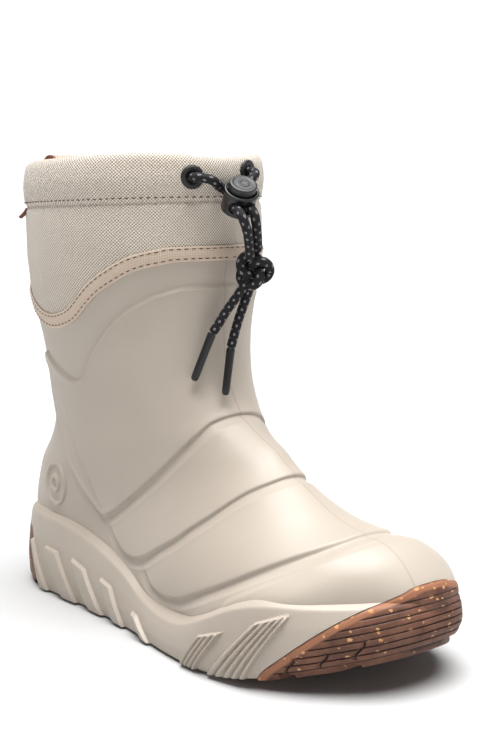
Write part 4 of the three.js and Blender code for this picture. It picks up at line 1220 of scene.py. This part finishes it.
def core():
    """What the toe cap and the heel cup wrap round."""
    wall = tube_form("core", wall_surface(-RUBBER_WALL, relief=False), [-1.0, *range(7)], 90, even(7.0))
    inner = lambda p: nose(skin(*p.T, -RUBBER_LIP), p[:, 0])
    upper = tube_form("core_upper", inner, [*range(2, NOSE + 1), NOSE + 0.9], ROOM_COLUMNS, even(7.0))
    return cut(cut(wall, upper, operation="UNION"), base_form(PLATE_TOP, below_corner))


def make_outsole():
    ring = [-1.0, *np.linspace(0, len(WALL_RINGS) - 1, 13)]
    toe = tube_form("outsole_rubber", rubber_wall, ring, RUBBER_COLUMNS, rubber_size)
    places = [*np.arange(12, NOSE, 0.5), NOSE, NOSE + 0.6, NOSE + 0.95]
    over = tube_form("toe_over", rubber_upper, places, UPPER_COLUMNS, rubber_size)
    zones = cut(toe_zone(0), heel_zone(0), operation="UNION")
    cut(toe, over, operation="UNION")
    cut(toe, zones, operation="INTERSECT")
    cut(toe, core())
    cut(toe, plate(0, PLATE_TOP), operation="UNION")
    cut(toe, base_form(0, below_corner))
    pitch = TREAD_BAR + TREAD_GROOVE
    flare = 0.7
    for i in range(1, int(0.9 * LENGTH // pitch) + 1):
        u = 0.04 * LENGTH + i * pitch
        top = spring(u) + TREAD_DEPTH
        low = spring(u) - 1
        end = u + TREAD_GROOVE
        cut(toe, prism("groove", [[u - flare, low], [end + flare, low], [end, top], [u, top]]))
    arch = [[0.29, -0.02], [0.31, ARCH_RELIEF / HEIGHT], [0.43, ARCH_RELIEF / HEIGHT], [0.45, -0.02]]
    cut(toe, prism("arch", np.array(arch) * [LENGTH, HEIGHT]))
    places = np.array([v.co for v in toe.data.vertices]) / MM
    u, z = HEEL_SETBACK - places[:, 1], places[:, 2]
    inside = -beside(toe_cap_line, u, z)
    band = np.where(u > TOE_RUBBER_START * LENGTH, 1 - smooth(inside, RIB_TOP_BAND - 1, RIB_TOP_BAND), 0)
    # groove depth that the gum material turns into painted shade in the grooves, and the lighter edge band
    layer = toe.data.attributes.new(RELIEF, "FLOAT", "POINT")
    layer.data.foreach_set("value", rubber_grooves(u, z, 0) - band)
    return dress(toe, 42, GUM, ["outsole"])


def make_insole():
    body = room(FOAM_WALL + CLEARANCE, CLEARANCE, end=16.5)
    u = np.linspace(0, 1.05, 40) * LENGTH
    line = np.column_stack([u, footbed(u) + CLEARANCE + INSOLE_THICKNESS])
    cut(body, prism("under", [*line, below_corner(1.05), below_corner(0)]), operation="INTERSECT")
    body.name = "insole_pad"
    set_uv(body, lambda p: p[:, :2] * MM)
    return dress(body, 40, LINING, ["insole"])


# ---- collar ----

# Up the outside, over the rim and down the inside: section number and outward growth
COLLAR_RINGS = [
    [4.0, 0.0], [3.2, 0.0], [2.5, 0.0], [1.8, 0.0], [1.14, -0.2], [1.0, -SEAM_PINCH], [0.88, 0.0],
    [0.6, TUNNEL_BULGE + 0.3], [0.36, 0.2], [0.17, -0.9], [0.05, -2.3], [0.0, -3.8], [0.06, -5.2],
    [0.3, -TUNNEL_WALL], [1.0, -COLLAR_WALL - SEAM_PINCH], [2.4, -COLLAR_WALL], [4.0, -COLLAR_WALL], [4.0, 0.0],
]


def cloth_waves(s, a):
    """Small waves of the cloth: puckers at the tunnel's seam and slow folds elsewhere."""
    pucker = 0.16 * np.sin(46 * a + 1.7 * np.sin(5 * a)) * np.exp(-(((s - 1) / 0.2) ** 2))
    slow = 0.3 * np.sin(5 * a + 2.2 * s) * np.sin(3.1 * s + 1.2 * np.sin(2 * a + 0.4))
    return (pucker + slow) * smooth(s, 0.05, 0.4) * (1 - smooth(s, 2.3, 3))


def collar_surface(p):
    rows = row(COLLAR_RINGS, p[:, 0])
    ring_numbers = range(len(COLLAR_RINGS))
    flat = np.stack([np.interp(p[:, 0], ring_numbers, column) for column in zip(*COLLAR_RINGS)], -1)
    low = (p[:, 0] < 1) | (p[:, 0] > 15)
    s, grow = np.where(low[:, None], flat, rows).T
    outside = 1 - smooth(p[:, 0], 9, 11)
    return skin(s, p[:, 1], grow + outside * cloth_waves(s, p[:, 1]))


def eyelet_frame(a, section):
    """Middle of an eyelet on the tunnel's skin and its outward direction, as (x, u, z)."""
    at = lambda s, angle: skin(s, angle, TUNNEL_BULGE)
    middle = at(section, a)
    across = at(section, a + 0.05) - at(section, a - 0.05)
    up = at(section - 0.1, a) - at(section + 0.1, a)
    out = unit(np.cross(across, up))
    return middle, out if out[1] > 0 else -out


def lathe(name, outline, middle, up, sides=72):
    """Closed turned form from its half outline (radius, height) along a direction from a place (x, u, z)."""
    side = unit(np.cross(up, [0.2, 0.3, 1]))
    ring = circle(sides, side, np.cross(up, side))
    rings = np.concatenate([middle + up * z + ring * max(r, 1e-4) for r, z in outline])
    is_ring = outline[0] == outline[-1]
    faces = bands(len(outline), sides, not is_ring)
    return mend(new_object(name, rings, faces), WELD if is_ring else CAP_WELD)


def rounded(outline, radius, steps=5):
    """A half outline whose inner corners are rounded by up to a radius."""
    points = [np.array(p, float) for p in outline]
    made = [points[0]]
    for before, corner, after in zip(points, points[1:], points[2:]):
        reach = min(radius, np.linalg.norm(before - corner) * 0.45, np.linalg.norm(after - corner) * 0.45)
        start = corner + unit(before - corner) * reach
        end = corner + unit(after - corner) * reach
        for t in np.linspace(0, 1, steps):
            made.append((1 - t) ** 2 * start + 2 * t * (1 - t) * corner + t**2 * end)
    made.append(points[-1])
    return [tuple(p) for p in made]


def make_collar():
    size = lambda p: np.where(p[:, 2] > 0.84 * HEIGHT, 1.7, 2.6)
    places = np.linspace(0, len(COLLAR_RINGS) - 1, 2 * len(COLLAR_RINGS) - 1)
    points, faces = periodic_patch(collar_surface, places, COLLAR_COLUMNS, size)
    body = mend(new_object("collar_cloth", collar_surface(points), faces))
    seam = side_line(JOINT_LINE, 8, -CLEARANCE / 2)
    cut(body, prism("under_joint", [*seam, below_corner(-0.1), below_corner(0.7)]))
    for _, angle, section in EYELETS:
        middle, out = eyelet_frame(angle, section)
        for r, low in ((EYELET_OUTER_RADIUS + CLEARANCE, -EYELET_SEAT), (EYELET_HOLE_RADIUS, -EYELET_POCKET)):
            cut(body, lathe("pocket", [(0, low), (r, low), (r, EYELET_CUT), (0, EYELET_CUT)], middle, out))
    set_uv(body, wrapped)
    return dress(body, 50, WEAVE, ["collar"])


def make_eyelets():
    low = CLEARANCE - EYELET_SEAT
    high = low + EYELET_THICKNESS
    hole, wide = EYELET_HOLE_RADIUS, EYELET_OUTER_RADIUS
    corners = [(hole, low), (wide, low), (wide, high - 0.2), (wide - 1.6, high + 0.15), (hole, high - 0.5)]
    ring = rounded(corners, 0.8)
    for name, angle, section in EYELETS:
        middle, out = eyelet_frame(angle, section)
        dress(lathe(name + "_shown", ring + [ring[0]], middle, out), 40, EYELET, [name])


JOINT_HALVINGS = 22


def joint_section(a, wanted):
    """Section numbers at angles where the skin is at signed distances from the joint line."""
    low, high = np.full(np.shape(a), 0.8), np.full(np.shape(a), 5.6)
    for _ in range(JOINT_HALVINGS):
        middle = (low + high) / 2
        p = skin(middle, a)
        below = beside(joint_line, p[..., 1], p[..., 2]) > wanted
        high = np.where(below, middle, high)
        low = np.where(below, low, middle)
    return (low + high) / 2


def on_band(a, across, grow):
    """Points over the joint line: across it, downwards, and out of the skin."""
    a, across, grow = np.broadcast_arrays(a, across, grow)
    return skin(joint_section(a, across), a, grow)


def make_joint_tape():
    half = TAPE_WIDTH / 2
    top = CLEARANCE + TAPE_THICKNESS
    # one half of the section, from its low edge to its crown: distance from the edge and height
    edge = [(0, 0.32), (0, 0.75), (0.25, top - 0.05), (0.9, top + 0.05), (1.5, top - 0.08), (2.2, top + 0.1)]
    left = [(w - half, h) for w, h in edge]
    right = [(half - w, h) for w, h in reversed(edge)]
    section = [*left, (0, top + 0.18), *right, (0, 0.3), left[0]]
    turn = np.linspace(0, 2 * math.pi, 421)
    rings = np.stack([on_band(turn, w, g) for w, g in section], 1)
    run = run_along(rings[:, 5])
    uv = np.stack([
        np.repeat(run[:, None], len(section), 1), np.tile([w for w, g in section], (len(turn), 1))
    ], -1).reshape(-1, 2) * MM
    body = new_object("joint_tape", rings.reshape(-1, 3), grid(len(turn), len(section)))
    write_uv(body.data, uv)
    return dress(mend(body), 50, TAPE, ["collar_tape"])


# A stitch's thickness and rise, both as shares of its radius, at shares of its length
STITCH_SHAPE = [
    [0, 0, -0.5], [0.06, 0.55, -0.15], [0.2, 0.9, 0.2], [0.5, 1, 0.35], [0.8, 0.9, 0.2], [0.94, 0.55, -0.15],
    [1, 0, -0.5],
]
STITCH_SIDES = 8


def stitches(name, line, out, length, gap, radius):
    """Row of sewn stitches along a line of points (x, u, z), each bedded into the cloth that faces out."""
    run = run_along(line)
    starts = np.arange(0, run[-1] - length, length + gap)
    shares, thick, sink = np.array(STITCH_SHAPE).T
    ring_faces = bands(len(shares), STITCH_SIDES)
    points, faces = [], []
    for start in starts:
        at = start + shares * length
        middle = np.stack([np.interp(at, run, line[:, k]) for k in range(3)], -1)
        up = unit(np.array([np.interp(start + length / 2, run, out[:, k]) for k in range(3)]))
        ring = circle(STITCH_SIDES, np.cross(unit(middle[-1] - middle[0]), up), up)
        middle = middle + up * (sink * radius)[:, None]
        base = len(points)
        for m, t in zip(middle, thick):
            points += list(m + radius * max(t, 0.02) * ring)
        faces += [[base + k for k in face] for face in ring_faces]
    thing = mend(new_object(name, np.array(points), faces), FLAT_EDGE)
    set_uv(thing, wrapped)
    return dress(thing, 0, THREAD)


def make_stitches():
    turn = np.linspace(0, 2 * math.pi, 721)
    s = np.full(721, 0.9)
    line = skin(s, turn, 0.05 + cloth_waves(s, turn))
    out = skin(s, turn, 2.0) - skin(s, turn, 1.0)
    stitches("tunnel_stitches", line, out, 1.9, 1.8, 0.3)
    half = TAPE_WIDTH / 2
    top = CLEARANCE + TAPE_THICKNESS
    for name, across in (("upper", -half + 1.3), ("lower", half - 1.3)):
        line = on_band(turn, across, top - 0.05)
        out = on_band(turn, across, top + 1) - line
        stitches(f"tape_stitches_{name}", line, out, 2.4, 1.3, 0.27)


# ---- lock ----

lean_x, lean_forward = LOCK_LEAN
lock_up = np.array([lean_x, lean_forward, math.sqrt(1 - lean_x**2 - lean_forward**2)])
lock_front = np.array([-0.33476, 0.73790, -0.58604])
lock_side = np.array([0.91974, 0.39116, -0.03285])


def make_lock():
    bore = BUTTON_RADIUS + RUNNING_CLEARANCE
    r, low = LOCK_RADIUS, -LOCK_SLOT_TOP - LOCK_SLOT_HEIGHT / 2
    half = rounded([
        (0, -LOCK_HEIGHT), (r - 0.5, -LOCK_HEIGHT), (r - 0.5, -1.9), (r + 0.05, -1.7), (r + 0.05, 0), (bore, 0),
        (bore, low), (0, low),
    ], 0.7)
    barrel = lathe("lock_barrel_shown", half, np.array(LOCK_RIM), lock_up, 96)
    turn = np.linspace(0, 2 * math.pi, 33)[:-1]
    wave = np.stack([np.cos(turn), np.sin(turn)], -1)
    shape = np.sign(wave) * np.abs(wave) ** LOCK_SLOT_POWER * [LOCK_SLOT_WIDTH / 2, LOCK_SLOT_HEIGHT / 2]
    middle = np.array(LOCK_RIM) + lock_up * low
    rings = np.concatenate([
        middle + lock_front * reach + flare * (shape[:, :1] * lock_side + shape[:, 1:] * lock_up)
        for reach, flare in (
            (-2 * r, 1.12), (-r - 0.2, 1.1), (-r + 1.2, 1.0), (r - 1.2, 1.0), (r + 0.2, 1.1), (2 * r, 1.12),
        )
    ])
    cut(barrel, mend(new_object("slot", rings, bands(6, len(turn)))))
    dress(barrel, 35, PLASTIC, ["lock_barrel"])
    rise = BUTTON_RISE
    half = rounded([
        (0, -BUTTON_SKIRT), (BUTTON_RADIUS, -BUTTON_SKIRT), (BUTTON_RADIUS, rise),
        (BUTTON_RADIUS - 1.5, rise), (BUTTON_RADIUS - 1.8, rise - 0.2), (2.7, rise - 0.2),
        (2.6, rise + 0.05), (1.9, rise + 0.05), (1.8, rise - 0.2), (0, rise - 0.2),
    ], 0.7)
    button = lathe("lock_button_shown", half, np.array(LOCK_RIM), lock_up, 96)
    dress(button, 40, BUTTON, ["lock_button"], BUTTON_BODY)


# ---- pull loop and seam tag ----


def ribbon(name, line, side, width, thickness, out):
    """Closed strip with soft edges along a line of points (x, u, z), its face towards out."""
    half, deep = width / 2, thickness / 2
    corners = [(0, -deep), (half, -deep), (half, deep), (-half, deep), (-half, -deep), (0, -deep)]
    section = rounded(corners, min(0.6, deep), 4)[:-1]
    rings = np.stack([line + side * w + out * h for w, h in section], 1)
    return mend(new_object(name, rings.reshape(-1, 3), bands(len(line), len(section))))


def make_pull_loop():
    rise = LOOP_RISE

    def back_at(s, grow, up=0.0):
        p = skin(s, math.pi, grow)
        return [0.0, p[1], p[2] + up]

    off, bulge = CLEARANCE, TUNNEL_BULGE
    line, _ = spline([
        back_at(1.22, off + 0.2), back_at(1.0, off + 0.6), back_at(0.7, off + 1.1 + bulge),
        back_at(0.35, off + 1.2 + bulge), back_at(0.1, off + 1.0 + bulge), back_at(-0.04, off, rise / 2),
        back_at(0, -TUNNEL_WALL / 2, rise), back_at(-0.02, -TUNNEL_WALL - 0.6, rise / 2),
        back_at(0.2, -TUNNEL_WALL - 1.6), back_at(0.6, -TUNNEL_WALL - 1.2),
    ], 0.9)
    along = unit(np.gradient(line, axis=0))
    side = np.array([1.0, 0, 0])
    out = np.cross(along, side)
    middle = line + out * (LOOP_THICKNESS / 2) * np.sign(out[0] @ [0, -1, 0])
    body = ribbon("pull_loop_webbing", middle - side * LOOP_SHIFT, side, LOOP_WIDTH, LOOP_THICKNESS, out)
    set_uv(body, lambda p: np.stack([p[:, 0], p[:, 1] + p[:, 2]], -1) * MM)
    dress(body, 50, WEBBING, ["pull_loop"])
    edge = middle - side * (LOOP_SHIFT + LOOP_WIDTH / 2)
    binding = ribbon("pull_loop_binding", edge, side, BINDING_WIDTH, LOOP_THICKNESS + 0.5, out)
    dress(binding, 50, LEATHER)


def make_seam_tag():
    base = skin(1.0, TAG_PLACE, -SEAM_PINCH)
    along = unit(skin(1.0, TAG_PLACE + 0.05, 0) - skin(1.0, TAG_PLACE - 0.05, 0))
    out = unit(np.array([-along[1], along[0], 0.0]))
    if out[0] > 0:
        out = -out
    down = unit(out + [0, 0, -1.15])
    face = np.cross(along, down)
    reach = np.linspace(0.8, TAG_REACH, 14)
    bend = 0.5 * np.sin(reach / TAG_REACH * math.pi * 0.9)
    line = base + down * reach[:, None] + face * bend[:, None]
    body = ribbon("seam_tag_shown", line, along, TAG_WIDTH, TAG_THICKNESS - 0.5, face)
    dress(body, 50, LEATHER, ["seam_tag"])


# ---- floor and light ----


LIGHT_FROM = (-0.02, -0.07, 0.997)
LIGHT_RANGE = (0.87, 0.94)  # cosines of the light's edge and of its even middle
LIGHT_STRENGTH = 12.6
SKY_RANGE = (0.15, 0.30)
HORIZON = 1.06
SKY_DIM = 0.12
FLOOR_SIZE = 6


def make_floor_plane():
    points = np.array([[-1, -1, 0], [1, -1, 0], [1, 1, 0], [-1, 1, 0]]) * float(FLOOR_SIZE)
    floor = new_object("floor", points - [0, 0, 0.0002], [[0, 1, 2, 3]], to_metres=False)
    floor.data.materials.append(make_floor())


def make_world():
    """White round the horizon, dim above it and one wide soft light overhead."""
    world = bpy.data.worlds.new("world")
    world.use_nodes = True
    background = world.node_tree.nodes["Background"]
    nodes = Nodes(world.node_tree)
    direction = nodes.node("TexCoord").outputs["Generated"]
    height = nodes.node("SeparateXYZ", {"Vector": direction}).outputs[2]
    aim = Vector(LIGHT_FROM).normalized()
    towards = nodes.node("VectorMath", {0: direction, 1: aim}, operation="DOT_PRODUCT").outputs["Value"]
    sky = nodes.ramp(height, *SKY_RANGE, HORIZON, SKY_DIM, interpolation_type="SMOOTHSTEP")
    light = nodes.ramp(towards, *LIGHT_RANGE, 0.0, LIGHT_STRENGTH, interpolation_type="SMOOTHSTEP")
    background.inputs["Color"].default_value = (1, 1, 1, 1)
    nodes.feed(background.inputs["Strength"], nodes.plus(sky, light))
    bpy.context.scene.world = world


for make in (
    make_cords, make_foam_upper, make_foam_wall, make_outsole, make_insole, make_collar, make_eyelets,
    make_joint_tape, make_stitches, make_lock, make_pull_loop, make_seam_tag, make_floor_plane, make_world,
):
    make()
bpy.context.scene.view_settings.view_transform = "Standard"
